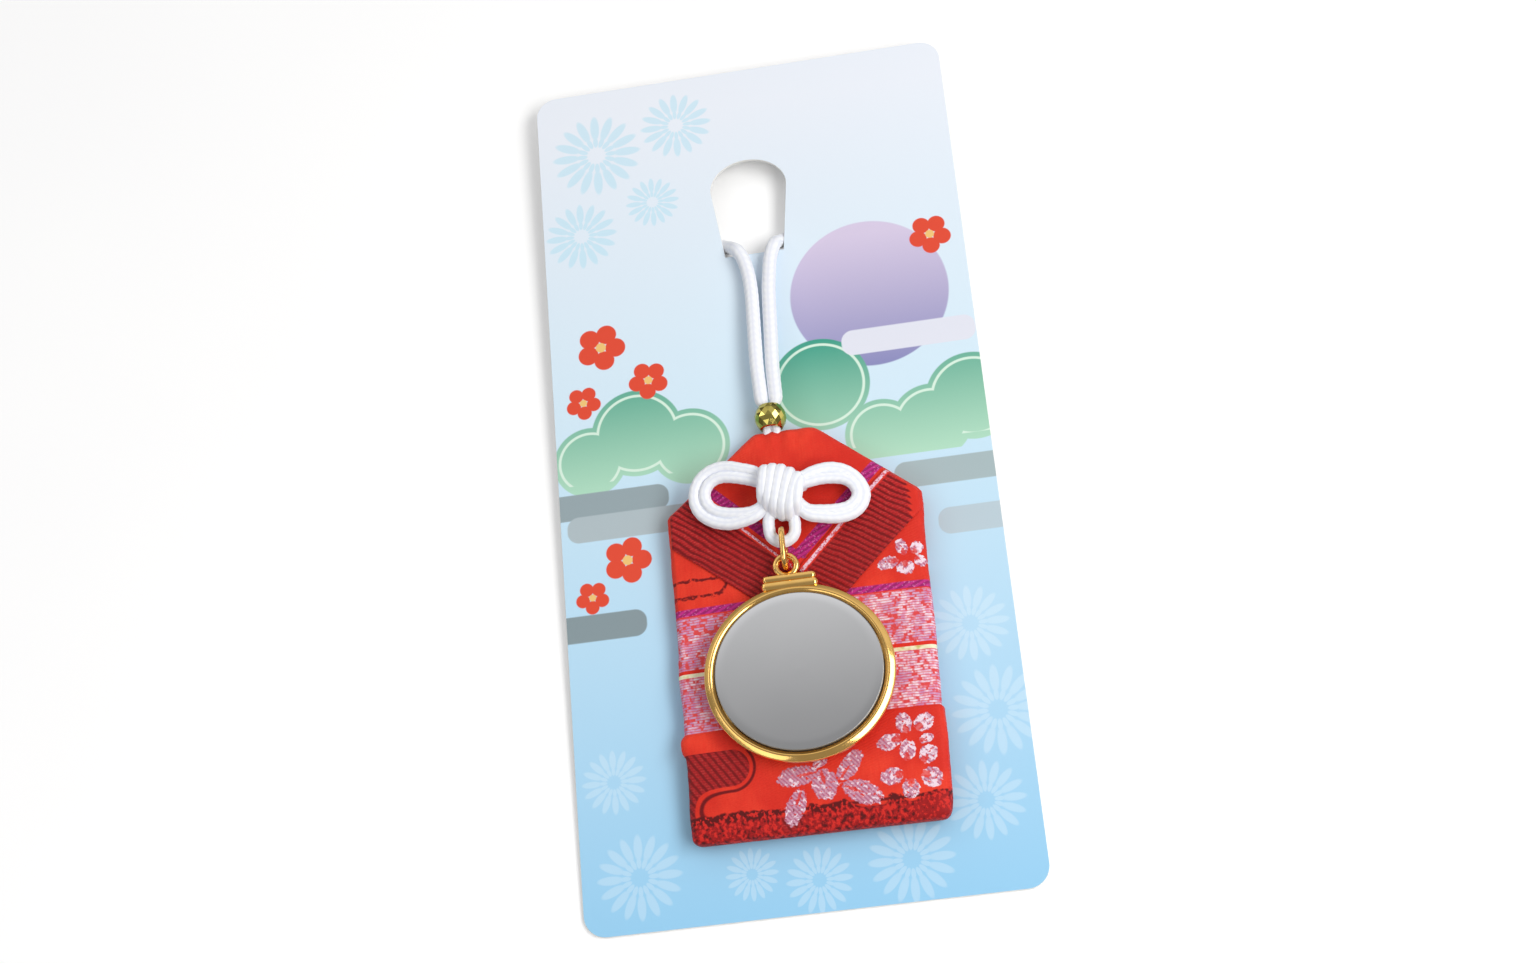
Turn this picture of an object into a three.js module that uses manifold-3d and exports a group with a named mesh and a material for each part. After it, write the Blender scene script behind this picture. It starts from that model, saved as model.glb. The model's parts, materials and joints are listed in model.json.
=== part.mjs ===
// Omamori charm on its display card. A brocade pouch with folded collar flaps is tied with a white
// braided cord. The cord's hanging loop passes through a gilt bead and the card's keyhole, and a round
// mirror in a gilt frame hangs in front from an oval jump ring.
// Millimetres, +Z up. The card lies on its back: +X is to its right, +Y is towards its top edge.

import * as THREE from 'three';
import { mergeVertices } from 'three/addons/utils/BufferGeometryUtils.js';
import Module from 'manifold-3d';

const wasm = await Module();
wasm.setup();

// Clearances
const seatGap = 0.3;      // between pieces that lie on each other
const layerGap = 0.1;     // between thin layers pressed together
const endGap = 0.3;       // between an end of cord and what it meets
const holeGap = 0.3;      // round a cord in the hole that it passes through

// Display card
const cardWidth = 70;
const cardHeight = 144.7;
const cardThickness = 0.6;
const cardCorner = 3.5;

// Keyhole in the card
const keyholeOffset = 0.4;       // right of the card's middle
const keyholeDrop = 22.75;       // its widest line below the card's top edge
const keyholeWidth = 12.8;       // along that line
const keyholeRise = 5.2;         // widest line up to the top of the arch
const keyholeSlot = 12.45;       // widest line down to the foot edge
const keyholeFootWidth = 9.8;

// Pouch
const pouchDrop = 33.2;          // keyhole's foot edge down to the pouch's top edge
const pouchOffset = 2;           // pouch's middle line right of the keyhole's
const pouchWidth = 39.6;
const pouchHeight = 64.7;
const pouchSlack = 0.25;         // left over in the cavity's depth
const pouchTopWidth = 10;
const shoulderDrop = 12.5;       // top edge down to the shoulders
const pouchCorner = 2.4;
const pouchEdgeRound = 1.1;
const clothWall = 0.65;
const seamWidth = 1.4;           // cloth left round the cavity by the side seams
const mouthWidth = 6;            // gap in the top edge that the neck of the cord goes into
const mouthWall = 0.35;          // cloth left in front of and behind that gap

// Collar flaps: a pair that meets in a V below the bow
const flapThickness = 0.5;
const flapTopInset = 5.5;        // upper corner along the slanting edge, in from the shoulder
const flapSideDrop = 5.3;        // shoulder down to the outer lower corner
const flapFootInset = 13.4;      // outer lower corner in to the inner lower corner
const flapFootDrop = 10.6;       // and down to it
const flapTipDrop = 9.4;         // shoulder down to the inner tip
const flapTipGap = 3;            // between the two inner tips
const flapOffset = -1.1;         // middle of the V right of the pouch's middle line

// Inner pieces
const innerDrop = 15.6;          // pouch's top edge down to the inner pieces
const boardSideSlack = 1.4;      // between the board and the side seams
const boardFootSlack = 1.7;      // between the board and the foot seam
const boardThickness = 0.6;
const wrapperSideMargin = 2;     // board left bare beside the wrapper
const wrapperFootMargin = 4;     // and below it
const wrapperPaper = 0.25;
const wrapperFold = 2;           // closed margin at the wrapper's sides and foot
const slipThickness = 0.35;
const slipSlack = 0.4;           // round the slip inside the wrapper

// Cord and bead
const cordDiameter = 2;
const neckDiameter = 1.3;        // one strand of the cord squeezed in the bead
const neckSpacing = 1.6;
const neckRise = 0.5;            // above the bead
const neckDepth = 6;             // into the pouch
const neckDip = 0.3;             // lower below the bead than above it
const beadDiameter = 4.9;
const beadLength = 4.4;
const beadEndRadius = 2;
const beadFlat = 1.5;            // straight middle of the bead
const beadOffset = 0.25;         // right of the keyhole's middle line
const beadGap = 0.4;             // above the pouch's top edge
const beadBoreGap = 0.2;
const beadFacets = 12;

// Bow
const bowDrop = 11.7;            // pouch's top edge down to the knot's middle
const bowOffset = -0.6;          // knot's middle right of the pouch's
const bowCord = 1.75;
const strandGap = 0.45;
const wrapGap = 0.55;            // between the knot's wraps
const knotTurns = 3;
const knotHalfHeight = 3.55;     // to the cord's middle
const knotHalfDepth = 2;
const knotSquareness = 3;        // exponent of the wraps' rounded outline
const knotSlant = 0.15;          // leftward drift of a wrap for each millimetre up the knot
const knotBend = 1.4;            // from the last wrap down into the pouch's front
const knotEase = 0.4;            // part of that bend at its middle point
const coreCorner = 1;
const earTipLift = 1.7;          // middle of the ears' tips above the pouch's front

// Drop loop, jump ring and pendant
const dropOffset = -0.6;         // right of the knot's middle
const dropWidth = 4.1;           // between the middles of its legs
const dropBottom = 8.4;          // knot's middle down to the middle of the cord in the loop's foot
const dropLift = 2.6;            // above the pouch's front
const ringWire = 0.85;
const ringRound = 0.23;          // rounding of the wire's corners
const ringStraight = 2.35;
const ringLift = 0.3;            // ring's middle above the drop loop's
const eyeRadius = 1.6;           // to the wire's middle
const eyeWire = 1;
const eyeReach = 1.45;           // ring's lower end centre down to the eye's middle
const eyeDip = 0.6;              // eye's middle below the ring's
const frameWidth = 29;
const frameLength = 27.7;        // a little less than its width
const framePlate = 0.8;          // back of the frame
const frameRim = 1.4;
const frameChamfer = 0.8;        // round the frame's back edge
const frameCrown = 0.5;          // height of the rim's rounded top
const frameEyeReach = 3.1;       // rim's top up to the eye's middle
const blockWidth = 9;
const blockHeight = 2.6;
const blockDepth = 2.2;
const blockGroove = 0.4;
const mirrorThickness = 1;
const mirrorClearance = 0.3;
const padMargin = 2.1;           // recess left bare round the pad
const padThickness = 0.3;

// Facets
const cornerSteps = 6;
const cordSides = 8;
const bowSides = 6;
const neckSteps = 12;
const legSteps = 10;
const backSteps = 52;
const dropSteps = 20;
const turnSteps = 24;
const arcSteps = 8;
const holeSteps = 16;
const roundSteps = 48;

const cordRadius = cordDiameter / 2;
const bowRadius = bowCord / 2;
const cardTop = cardHeight / 2;
const boardWidth = pouchWidth - 2 * (seamWidth + boardSideSlack);
const boardHeight = pouchHeight - seamWidth - boardFootSlack - innerDrop;
const wrapperWidth = boardWidth - 2 * wrapperSideMargin;
const wrapperHeight = boardHeight - wrapperFootMargin;
const wrapperThickness = 2 * (wrapperPaper + layerGap) + slipThickness;
const stackThickness = layerGap + boardThickness + layerGap + wrapperThickness;
const pouchThickness = 2 * clothWall + stackThickness + pouchSlack;
const pouchFront = seatGap + pouchThickness;
const beadMiddle = seatGap + beadDiameter / 2;
const beadTop = -pouchDrop + beadGap + beadLength;
const knotPitch = bowCord + wrapGap;
const knotReach = knotPitch * knotTurns / 2;
const ringEndRadius = bowRadius + ringLift + seatGap + ringWire / 2;     // to the wire's middle
const frameRadius = frameWidth / 2;
const recessRadius = frameRadius - frameRim;
const padBottom = framePlate + layerGap;
const mirrorBottom = padBottom + padThickness + layerGap;
const frameHeight = mirrorBottom + mirrorThickness + frameCrown;

// Solids and shapes

function toSolid(geometry) {
	const bare = geometry.clone();
	bare.deleteAttribute('normal');
	bare.deleteAttribute('uv');
	const merged = mergeVertices(bare, 1e-4);
	const mesh = new wasm.Mesh({
		numProp: 3,
		vertProperties: new Float32Array(merged.attributes.position.array),
		triVerts: new Uint32Array(merged.index.array),
	});
	return new wasm.Manifold(mesh);
}

function toGeometry(solid) {
	const mesh = solid.getMesh();
	const geometry = new THREE.BufferGeometry();
	geometry.setAttribute('position', new THREE.BufferAttribute(mesh.vertProperties, 3));
	geometry.setIndex(new THREE.BufferAttribute(mesh.triVerts, 1));
	geometry.computeVertexNormals();
	return geometry;
}

function cut(geometry, ...tools) {
	const solid = tools.reduce((rest, tool) => rest.subtract(toSolid(tool)), toSolid(geometry));
	return toGeometry(solid);
}

function join(geometry, ...others) {
	const solid = others.reduce((sum, other) => sum.add(toSolid(other)), toSolid(geometry));
	return toGeometry(solid);
}

function plate(shape, bottom, thickness) {
	const options = { depth: thickness, bevelEnabled: false, curveSegments: cornerSteps };
	return new THREE.ExtrudeGeometry(shape, options).translate(0, 0, bottom);
}

function box(width, height, depth, x, y, z) {
	return new THREE.BoxGeometry(width, height, depth).translate(x, y, z);
}

function polygon(points) {
	return new THREE.Shape(points.map(([x, y]) => new THREE.Vector2(x, y)));
}

// A polygon whose corners are rounded by curves that start a given distance from each corner
function roundedPolygon(points, radius) {
	const shape = new THREE.Shape();
	const corners = points.map(([x, y]) => new THREE.Vector2(x, y));
	corners.forEach((corner, i) => {
		const before = corners[(i + corners.length - 1) % corners.length];
		const after = corners[(i + 1) % corners.length];
		const into = before.clone().sub(corner).setLength(radius).add(corner);
		const out = after.clone().sub(corner).setLength(radius).add(corner);
		if (i === 0) shape.moveTo(into.x, into.y);
		else shape.lineTo(into.x, into.y);
		shape.quadraticCurveTo(corner.x, corner.y, out.x, out.y);
	});
	shape.closePath();
	return shape;
}

// Tube along a curve, with flat ends
function tube(curve, diameter, sides, steps) {
	const section = [];
	for (let i = 0; i < sides; i++) {
		const angle = (i / sides) * 2 * Math.PI;
		section.push([Math.cos(angle) * diameter / 2, Math.sin(angle) * diameter / 2]);
	}
	const options = { steps, extrudePath: curve, bevelEnabled: false };
	return new THREE.ExtrudeGeometry(polygon(section), options);
}

function curveThrough(points) {
	return new THREE.CatmullRomCurve3(points.map((p) => new THREE.Vector3(...p)), false, 'centripetal');
}

// A stretch of a longer curve, between two shares of its length
class Stretch extends THREE.Curve {
	constructor(whole, from, to) {
		super();
		this.whole = whole;
		this.from = from;
		this.to = to;
	}

	getPoint(t) {
		return this.whole.getPointAt(this.from + (this.to - this.from) * t);
	}
}

// A body turned about +Z from a profile of radii and heights
function lathe(profile, steps) {
	const geometry = new THREE.LatheGeometry(profile.map(([r, z]) => new THREE.Vector2(r, z)), steps);
	return geometry.rotateX(Math.PI / 2);
}

function disc(radius, bottom, thickness) {
	const top = bottom + thickness;
	return lathe([[0, bottom], [radius, bottom], [radius, top], [0, top]], roundSteps);
}

function finish(color, roughness, metalness = 0) {
	return new THREE.MeshStandardMaterial({ color, roughness, metalness });
}

function add(group, name, geometry, material) {
	const mesh = new THREE.Mesh(geometry, material);
	mesh.name = name;
	group.add(mesh);
}

// Groups: the card lies with its upper end raised by the loop of cord behind it. The charm hangs from
// the middle of the keyhole's foot edge, and the bow sits on the pouch's front.

const part = new THREE.Group();
const card = new THREE.Group();
const charm = new THREE.Group();
const bow = new THREE.Group();
const pendant = new THREE.Group();
part.add(card);
card.add(charm);
charm.add(bow);
bow.add(pendant);

charm.position.set(keyholeOffset, cardTop - keyholeDrop - keyholeSlot, 0);
bow.position.set(pouchOffset + bowOffset, -pouchDrop - bowDrop, pouchFront);
pendant.position.set(dropOffset, -dropBottom - ringStraight, dropLift + ringLift);

// Display card

function cardShape() {
	const right = cardWidth / 2;
	const corners = [[-right, -cardTop], [right, -cardTop], [right, cardTop], [-right, cardTop]];
	const shape = roundedPolygon(corners, cardCorner);
	const headY = cardTop - keyholeDrop;
	const footY = headY - keyholeSlot;
	const foot = keyholeFootWidth / 2;
	const hole = new THREE.Path();
	hole.moveTo(keyholeOffset - foot, footY);
	hole.lineTo(keyholeOffset + foot, footY);
	hole.absellipse(keyholeOffset, headY, keyholeWidth / 2, keyholeRise, 0, Math.PI, false);
	hole.closePath();
	shape.holes.push(hole);
	return shape;
}

add(card, 'display_card', plate(cardShape(), -cardThickness, cardThickness), finish(0xc4dcf2, 0.55));

// Hanging loop: out of the bead, up the card's front, down through the keyhole, round behind the card
// and back the same way. Measured from the middle of the keyhole's foot edge, on the card's front.

const loopRoute = [
	[-0.9, -27.6, 2.7],
	[-1.02, -25.1, 2.65],
	[-1.15, -21.5, 2.5],
	[-1.12, -17.1, 2.25],
	[-1.02, -12.1, 2.0],
	[-0.98, -8.1, 1.75],
	[-1.2, -4.6, 1.5],
	[-1.75, -1.8, 1.45],
	[-2.6, 0.15, 1.2],
	[-3.65, 1.6, -0.2],
	[-5.0, 2.75, -1.7],
	[-6.8, 3.75, -1.9],
	[-9.2, 5.25, -1.9],
	[-11.6, 7.85, -1.9],
	[-13.3, 11.85, -1.9],
	[-13.2, 16.35, -1.9],
	[-11.0, 20.85, -1.9],
	[-6.8, 24.05, -1.9],
	[-0.1, 25.2, -1.9],
	[6.6, 24.05, -1.9],
	[10.8, 20.85, -1.9],
	[13.0, 16.35, -1.9],
	[13.0, 11.85, -1.9],
	[11.4, 7.85, -1.9],
	[9.0, 5.05, -1.9],
	[6.6, 3.5, -1.9],
	[4.9, 2.55, -1.7],
	[3.75, 1.55, -0.2],
	[3.35, 0.15, 1.2],
	[2.7, -1.8, 1.45],
	[2.25, -4.6, 1.5],
	[1.9, -8.1, 1.75],
	[1.72, -12.1, 2.0],
	[1.55, -17.1, 2.25],
	[1.38, -21.5, 2.5],
	[1.38, -25.1, 2.65],
	[1.4, -27.6, 2.7],
];
const bendY = -1.2;       // where the cord bends as the charm is lifted off the card
const loop = curveThrough(loopRoute);
const white = finish(0xf2f3fa, 0.8);

// Share of the loop's length at which it first passes the bend, from one end or the other
function bendShare(fromEnd) {
	const samples = 2000;
	for (let i = 0; i < samples; i++) {
		const share = fromEnd ? 1 - i / samples : i / samples;
		if (loop.getPointAt(share).y > bendY) return share;
	}
	return fromEnd ? 1 : 0;
}

const leftBend = bendShare(false);
const rightBend = bendShare(true);
const halfGap = endGap / 2 / loop.getLength();
const cordStretches = [
	['cord_leg_left', 0, leftBend - halfGap, legSteps],
	['cord_back_loop', leftBend + halfGap, rightBend - halfGap, backSteps],
	['cord_leg_right', rightBend + halfGap, 1, legSteps],
];
cordStretches.forEach(([name, from, to, steps]) => {
	add(charm, name, tube(new Stretch(loop, from, to), cordDiameter, cordSides, steps), white);
});

// Doubled neck of the cord, through the bead and into the pouch

[['cord_neck_left', -1], ['cord_neck_right', 1]].forEach(([name, side]) => {
	const x = beadOffset + side * neckSpacing / 2;
	const pouchMiddle = seatGap + pouchThickness / 2;
	const route = [
		[x, beadTop + neckRise, beadMiddle],
		[x, beadTop - beadLength, beadMiddle - neckDip],
		[x, -pouchDrop - neckDepth / 2, pouchMiddle],
		[x, -pouchDrop - neckDepth, pouchMiddle],
	];
	add(charm, name, tube(curveThrough(route), neckDiameter, bowSides, neckSteps), white);
});

// Bead, cut in flat facets

function beadGeometry() {
	const bore = neckSpacing / 2 + neckDiameter / 2 + beadBoreGap;
	const end = beadLength / 2;
	const flat = beadFlat / 2;
	const widest = beadDiameter / 2;
	const profile = [
		[bore, -end], [beadEndRadius, -end], [widest, -flat], [widest, flat],
		[beadEndRadius, end], [bore, end], [bore, -end],
	];
	return new THREE.LatheGeometry(profile.map(([r, y]) => new THREE.Vector2(r, y)), beadFacets);
}

const bead = beadGeometry().translate(beadOffset, beadTop - beadLength / 2, beadMiddle);
add(charm, 'cord_bead', bead, finish(0xb9a94e, 0.2, 1));

// Pouch, measured from the middle of its top edge

function pouchOutline(inset) {
	const side = pouchWidth / 2 - inset;
	const top = pouchTopWidth / 2 - inset / 2;
	const shoulder = -shoulderDrop - inset / 2;
	const foot = -pouchHeight + inset;
	return [[-side, foot], [side, foot], [side, shoulder], [top, -inset], [-top, -inset], [-side, shoulder]];
}

// Holes in the pouch's front for the two ends of the cord that ties the knot
function knotHole(side) {
	const radius = bowRadius + holeGap;
	const hole = new THREE.CylinderGeometry(radius, radius, 2 * clothWall, holeSteps);
	const x = bowOffset + side * knotReach;
	const y = -bowDrop + side * knotBend;
	return hole.rotateX(Math.PI / 2).translate(x, y, pouchFront - clothWall / 2);
}

function pouchGeometry() {
	const rounding = {
		depth: pouchThickness - 2 * pouchEdgeRound,
		bevelThickness: pouchEdgeRound,
		bevelSize: pouchEdgeRound,
		bevelOffset: -pouchEdgeRound,
		bevelSegments: 3,
		curveSegments: 3,
	};
	const outer = new THREE.ExtrudeGeometry(roundedPolygon(pouchOutline(0), pouchCorner), rounding);
	outer.translate(0, 0, seatGap + pouchEdgeRound);
	const cavityDepth = pouchThickness - 2 * clothWall;
	const cavity = plate(polygon(pouchOutline(seamWidth)), seatGap + clothWall, cavityDepth);
	const mouthX = beadOffset - pouchOffset;
	const mouthReach = 2 * seamWidth;
	const mouthDepth = pouchThickness - 2 * mouthWall;
	const mouth = box(mouthWidth, 2 * mouthReach, mouthDepth, mouthX, 0, seatGap + pouchThickness / 2);
	return cut(outer, join(cavity, mouth), knotHole(-1), knotHole(1));
}

// A flap's outline runs from its upper corner down the slanting edge to the shoulder, down the pouch's
// side, in along its lower edge and up to its inner tip
function flapGeometry(side) {
	const edge = pouchWidth / 2;
	const slope = shoulderDrop / (edge - pouchTopWidth / 2);
	const outline = [
		[side * (edge - flapTopInset), -shoulderDrop + slope * flapTopInset],
		[side * edge, -shoulderDrop],
		[side * edge, -shoulderDrop - flapSideDrop],
		[side * (edge - flapFootInset), -shoulderDrop - flapSideDrop - flapFootDrop],
		[flapOffset + side * flapTipGap / 2, -shoulderDrop - flapTipDrop],
	];
	return plate(polygon(outline), pouchFront + layerGap, flapThickness);
}

const brocade = finish(0xd8361f, 0.75);
const ribbed = finish(0x8c1a1c, 0.8);
const placePouch = (geometry) => geometry.translate(pouchOffset, -pouchDrop, 0);
add(charm, 'bag_pouch', placePouch(pouchGeometry()), brocade);
add(charm, 'collar_flap_left', placePouch(flapGeometry(-1)), ribbed);
add(charm, 'collar_flap_right', placePouch(flapGeometry(1)), ribbed);

// Stiffener board, paper wrapper and slip inside the pouch

const boardBottom = seatGap + clothWall + layerGap;
const wrapperMiddle = boardBottom + boardThickness + layerGap + wrapperThickness / 2;
const pocketHeight = wrapperHeight - wrapperFold;
const pocketWidth = wrapperWidth - 2 * wrapperFold;
const pocketDepth = wrapperThickness - 2 * wrapperPaper;
const slipWidth = pocketWidth - 2 * slipSlack;
const slipHeight = pocketHeight - 2 * slipSlack;
const boardY = -innerDrop - boardHeight / 2;
const wrapperY = -innerDrop - wrapperHeight / 2;
const slipY = -innerDrop - pocketHeight / 2;
const board = box(boardWidth, boardHeight, boardThickness, 0, boardY, boardBottom + boardThickness / 2);
const pocket = box(pocketWidth, 2 * pocketHeight, pocketDepth, 0, -innerDrop, wrapperMiddle);
const envelope = box(wrapperWidth, wrapperHeight, wrapperThickness, 0, wrapperY, wrapperMiddle);
const slip = box(slipWidth, slipHeight, slipThickness, 0, slipY, wrapperMiddle);
add(charm, 'stiffener_board', placePouch(board), finish(0xb9a384, 0.9));
add(charm, 'paper_wrapper', placePouch(cut(envelope, pocket)), finish(0xf0ead9, 0.85));
add(charm, 'prayer_slip', placePouch(slip), finish(0xd9bf92, 0.7));

// Bow, measured from the knot's middle on the pouch's front. Each ear has an outer and an inner strand.

const knotMiddle = knotHalfDepth + bowRadius + seatGap;
const leftEar = [
	[-5.0, 3.6], [-6.4, 4.5], [-8.3, 5.2], [-10.4, 5.0], [-12.5, 3.7], [-13.8, 1.8],
	[-14.0, -0.1], [-13.0, -2.1], [-11.0, -3.8], [-8.4, -4.45], [-6.0, -4.2], [-4.4, -3.5],
];
const rightEar = [
	[4.4, 2.2], [6.2, 2.7], [8.0, 2.75], [10.4, 1.9], [12.1, 0.1], [12.65, -1.8],
	[12.1, -3.6], [10.4, -5.0], [8.1, -5.7], [6.5, -5.5], [5.3, -5.1],
];

// Moves a flat route sideways, square to its run, and straight up or down at its two ends
function inward(route, distance, side) {
	const last = route.length - 1;
	return route.map(([x, y], i) => {
		if (i === 0) return [x, y - distance];
		if (i === last) return [x, y + distance];
		const dx = route[i + 1][0] - route[i - 1][0];
		const dy = route[i + 1][1] - route[i - 1][1];
		const length = Math.hypot(dx, dy);
		return [x + side * distance * dy / length, y - side * distance * dx / length];
	});
}

// An ear's strand comes out of the knot's middle and sinks to the pouch towards its tip
function earCurve(route) {
	const near = Math.min(...route.map(([x]) => Math.abs(x)));
	const far = Math.max(...route.map(([x]) => Math.abs(x)));
	return curveThrough(route.map(([x, y]) => {
		const share = (Math.abs(x) - near) / (far - near);
		return [x, y, knotMiddle + (earTipLift - knotMiddle) * share];
	}));
}

const strandPitch = bowCord + strandGap;
const ears = [
	['ear_left_outer', leftEar, 28],
	['ear_left_inner', inward(leftEar, strandPitch, -1), 24],
	['ear_right_outer', rightEar, 28],
	['ear_right_inner', inward(rightEar, strandPitch, 1), 24],
];
ears.forEach(([name, route, steps]) => {
	add(bow, name, tube(earCurve(route), bowCord, bowSides, steps), white);
});

// Knot: the cord wraps round the crossing strands, and both its ends go back into the pouch

function power(value) {
	return Math.sign(value) * Math.abs(value) ** (2 / knotSquareness);
}

// The end on one side leaves the wraps, turns down and runs straight for one diameter in the pouch
function knotEnd(side) {
	const back = knotMiddle - knotHalfDepth;
	const x = side * knotReach;
	const y = side * knotBend;
	return [
		[x, y * (1 - knotEase), back - knotBend * knotEase],
		[x, y, back - knotBend],
		[x, y, back - knotBend - bowCord],
	];
}

function knotRoute() {
	const wraps = [];
	for (let i = 0; i <= knotTurns * turnSteps; i++) {
		const turn = i / turnSteps;
		const angle = (turn - 0.25) * 2 * Math.PI;
		const y = knotHalfHeight * power(Math.cos(angle));
		const z = knotMiddle + knotHalfDepth * power(Math.sin(angle));
		wraps.push([knotPitch * turn - knotReach - knotSlant * y, y, z]);
	}
	return [...knotEnd(-1).reverse(), ...wraps, ...knotEnd(1)];
}

// Least gap of a wound cord to itself, between points more than a few diameters apart along it
function selfGap(curve, diameter) {
	const samples = 600;
	const points = curve.getSpacedPoints(samples);
	const step = curve.getLength() / samples;
	const apart = Math.ceil(3 * diameter / step);
	let least = Infinity;
	for (let i = 0; i <= samples; i++) {
		for (let j = i + apart; j <= samples; j++) least = Math.min(least, points[i].distanceTo(points[j]));
	}
	return least - diameter;
}

const knotCurve = curveThrough(knotRoute());
console.log(`least gap of the knot's cord to itself: ${selfGap(knotCurve, bowCord).toFixed(2)} mm`);
add(bow, 'bow_knot', tube(knotCurve, bowCord, bowSides, (knotTurns + 1) * turnSteps), white);

const coreHeight = knotHalfHeight - bowRadius - seatGap;
const coreDepth = 2 * (knotHalfDepth - bowRadius - seatGap);
const coreReach = knotReach + bowRadius / 2;
const coreOutline = [
	[-coreReach, -coreHeight], [coreReach, -coreHeight], [coreReach, coreHeight], [-coreReach, coreHeight],
];
const coreShape = roundedPolygon(coreOutline, coreCorner);
add(bow, 'knot_core', plate(coreShape, knotMiddle - coreDepth / 2, coreDepth), white);

// Drop loop below the knot

function dropCurve() {
	const radius = dropWidth / 2;
	const top = -knotHalfHeight - bowRadius - endGap;
	const route = [[dropOffset - radius, top, dropLift]];
	for (let i = 0; i <= arcSteps; i++) {
		const angle = Math.PI * (1 + i / arcSteps);
		const y = radius - dropBottom + radius * Math.sin(angle);
		route.push([dropOffset + radius * Math.cos(angle), y, dropLift]);
	}
	route.push([dropOffset + radius, top, dropLift]);
	return curveThrough(route);
}

add(bow, 'drop_loop', tube(dropCurve(), bowCord, bowSides, dropSteps), white);

// Jump ring: an oval of wire standing on edge through the drop loop and the pendant's eye, measured
// from the centre of its lower end

function ovalPath(path, radius) {
	path.absarc(0, 0, radius, Math.PI, 2 * Math.PI, false);
	path.absarc(0, ringStraight, radius, 0, Math.PI, false);
	path.closePath();
	return path;
}

function ringGeometry() {
	const flat = ringWire / 2 - ringRound;
	const oval = ovalPath(new THREE.Shape(), ringEndRadius + flat);
	oval.holes.push(ovalPath(new THREE.Path(), ringEndRadius - flat));
	const options = {
		depth: 2 * flat,
		bevelThickness: ringRound,
		bevelSize: ringRound,
		bevelSegments: 2,
		curveSegments: 10,
	};
	return new THREE.ExtrudeGeometry(oval, options).translate(0, 0, -flat).rotateY(Math.PI / 2);
}

const gilt = finish(0xc99a45, 0.25, 1);
add(pendant, 'jump_ring', ringGeometry(), gilt);

// Pendant: a cast frame with its top block and eye, and the mirror stuck in its recess. The frame's
// back lies just above the collar flaps. Measured from the middle of the frame's back.

const frameY = -eyeReach - frameEyeReach - frameLength / 2;
const frameBottom = layerGap + flapThickness + seatGap - dropLift - ringLift;
const placePendant = (geometry) => geometry.translate(0, frameY, frameBottom);
const shorten = (geometry) => geometry.scale(1, frameLength / frameWidth, 1);

function rimGeometry() {
	const profile = [[0, 0], [frameRadius - frameChamfer, 0], [frameRadius, frameChamfer]];
	for (let i = 0; i <= arcSteps; i++) {
		const angle = Math.PI * i / arcSteps;
		const r = frameRadius - frameRim / 2 * (1 - Math.cos(angle));
		profile.push([r, frameHeight - frameCrown * (1 - Math.sin(angle))]);
	}
	profile.push([recessRadius, framePlate], [0, framePlate]);
	return shorten(lathe(profile, roundSteps));
}

// The bar across the rim's top, with a groove along it and a bevelled upper edge
function blockGeometry() {
	const middle = blockHeight / 2;
	const profile = polygon([
		[blockHeight, 0], [blockHeight, blockDepth - blockGroove], [middle + blockGroove, blockDepth],
		[middle, blockDepth - blockGroove], [middle - blockGroove, blockDepth], [0, blockDepth], [0, 0],
	]);
	const bar = new THREE.ExtrudeGeometry(profile, { depth: blockWidth, bevelEnabled: false });
	bar.rotateY(Math.PI / 2).rotateX(Math.PI / 2);
	const foot = frameLength / 2 - frameRim + mirrorClearance;
	return bar.translate(-blockWidth / 2, foot, (frameHeight - blockDepth) / 2);
}

const eye = new THREE.TorusGeometry(eyeRadius, eyeWire / 2, cordSides, turnSteps);
eye.translate(0, frameEyeReach + frameLength / 2, -eyeDip - frameBottom);
add(pendant, 'pendant_frame', placePendant(join(rimGeometry(), blockGeometry(), eye)), gilt);

const pad = shorten(disc(recessRadius - padMargin, padBottom, padThickness));
const mirror = shorten(disc(recessRadius - mirrorClearance, mirrorBottom, mirrorThickness));
add(pendant, 'adhesive_pad', placePendant(pad), finish(0xd8d8d0, 0.9));
add(pendant, 'mirror_disc', placePendant(mirror), finish(0xb9bcbe, 0.05, 1));

// The card's lower back edge and the loop of cord behind it both lie on the table. The tilt is the
// steepest line from that edge that touches the cord.

function restingTilt() {
	const samples = 400;
	let steepest = 0;
	for (let i = 0; i <= samples; i++) {
		const point = loop.getPointAt(i / samples).add(charm.position);
		const along = point.y + cardTop;
		const below = -cardThickness - point.z;
		const angle = Math.atan2(below, along) + Math.asin(cordRadius / Math.hypot(along, below));
		steepest = Math.max(steepest, angle);
	}
	return steepest;
}

const tilt = restingTilt();
card.rotation.x = tilt;
card.position.y = -cardThickness / 2 * Math.sin(tilt);
card.position.z = cardTop * Math.sin(tilt) + cardThickness * Math.cos(tilt);
part.updateMatrixWorld(true);

export default part;
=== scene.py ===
"""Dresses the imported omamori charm: cords, brocade, gilt metal, mirror and printed card, on a pale floor.

Shapes are written in millimetres in the card's own frame: from the middle of its front face, x to its
right, y towards its top edge and z out of its front. CARD carries that frame into the shared one.
"""
import json
import math
from functools import partialmethod

import bpy
import numpy as np
from mathutils import Matrix, Vector, noise
from mathutils.bvhtree import BVHTree
from mathutils.geometry import delaunay_2d_cdt, tessellate_polygon


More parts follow.
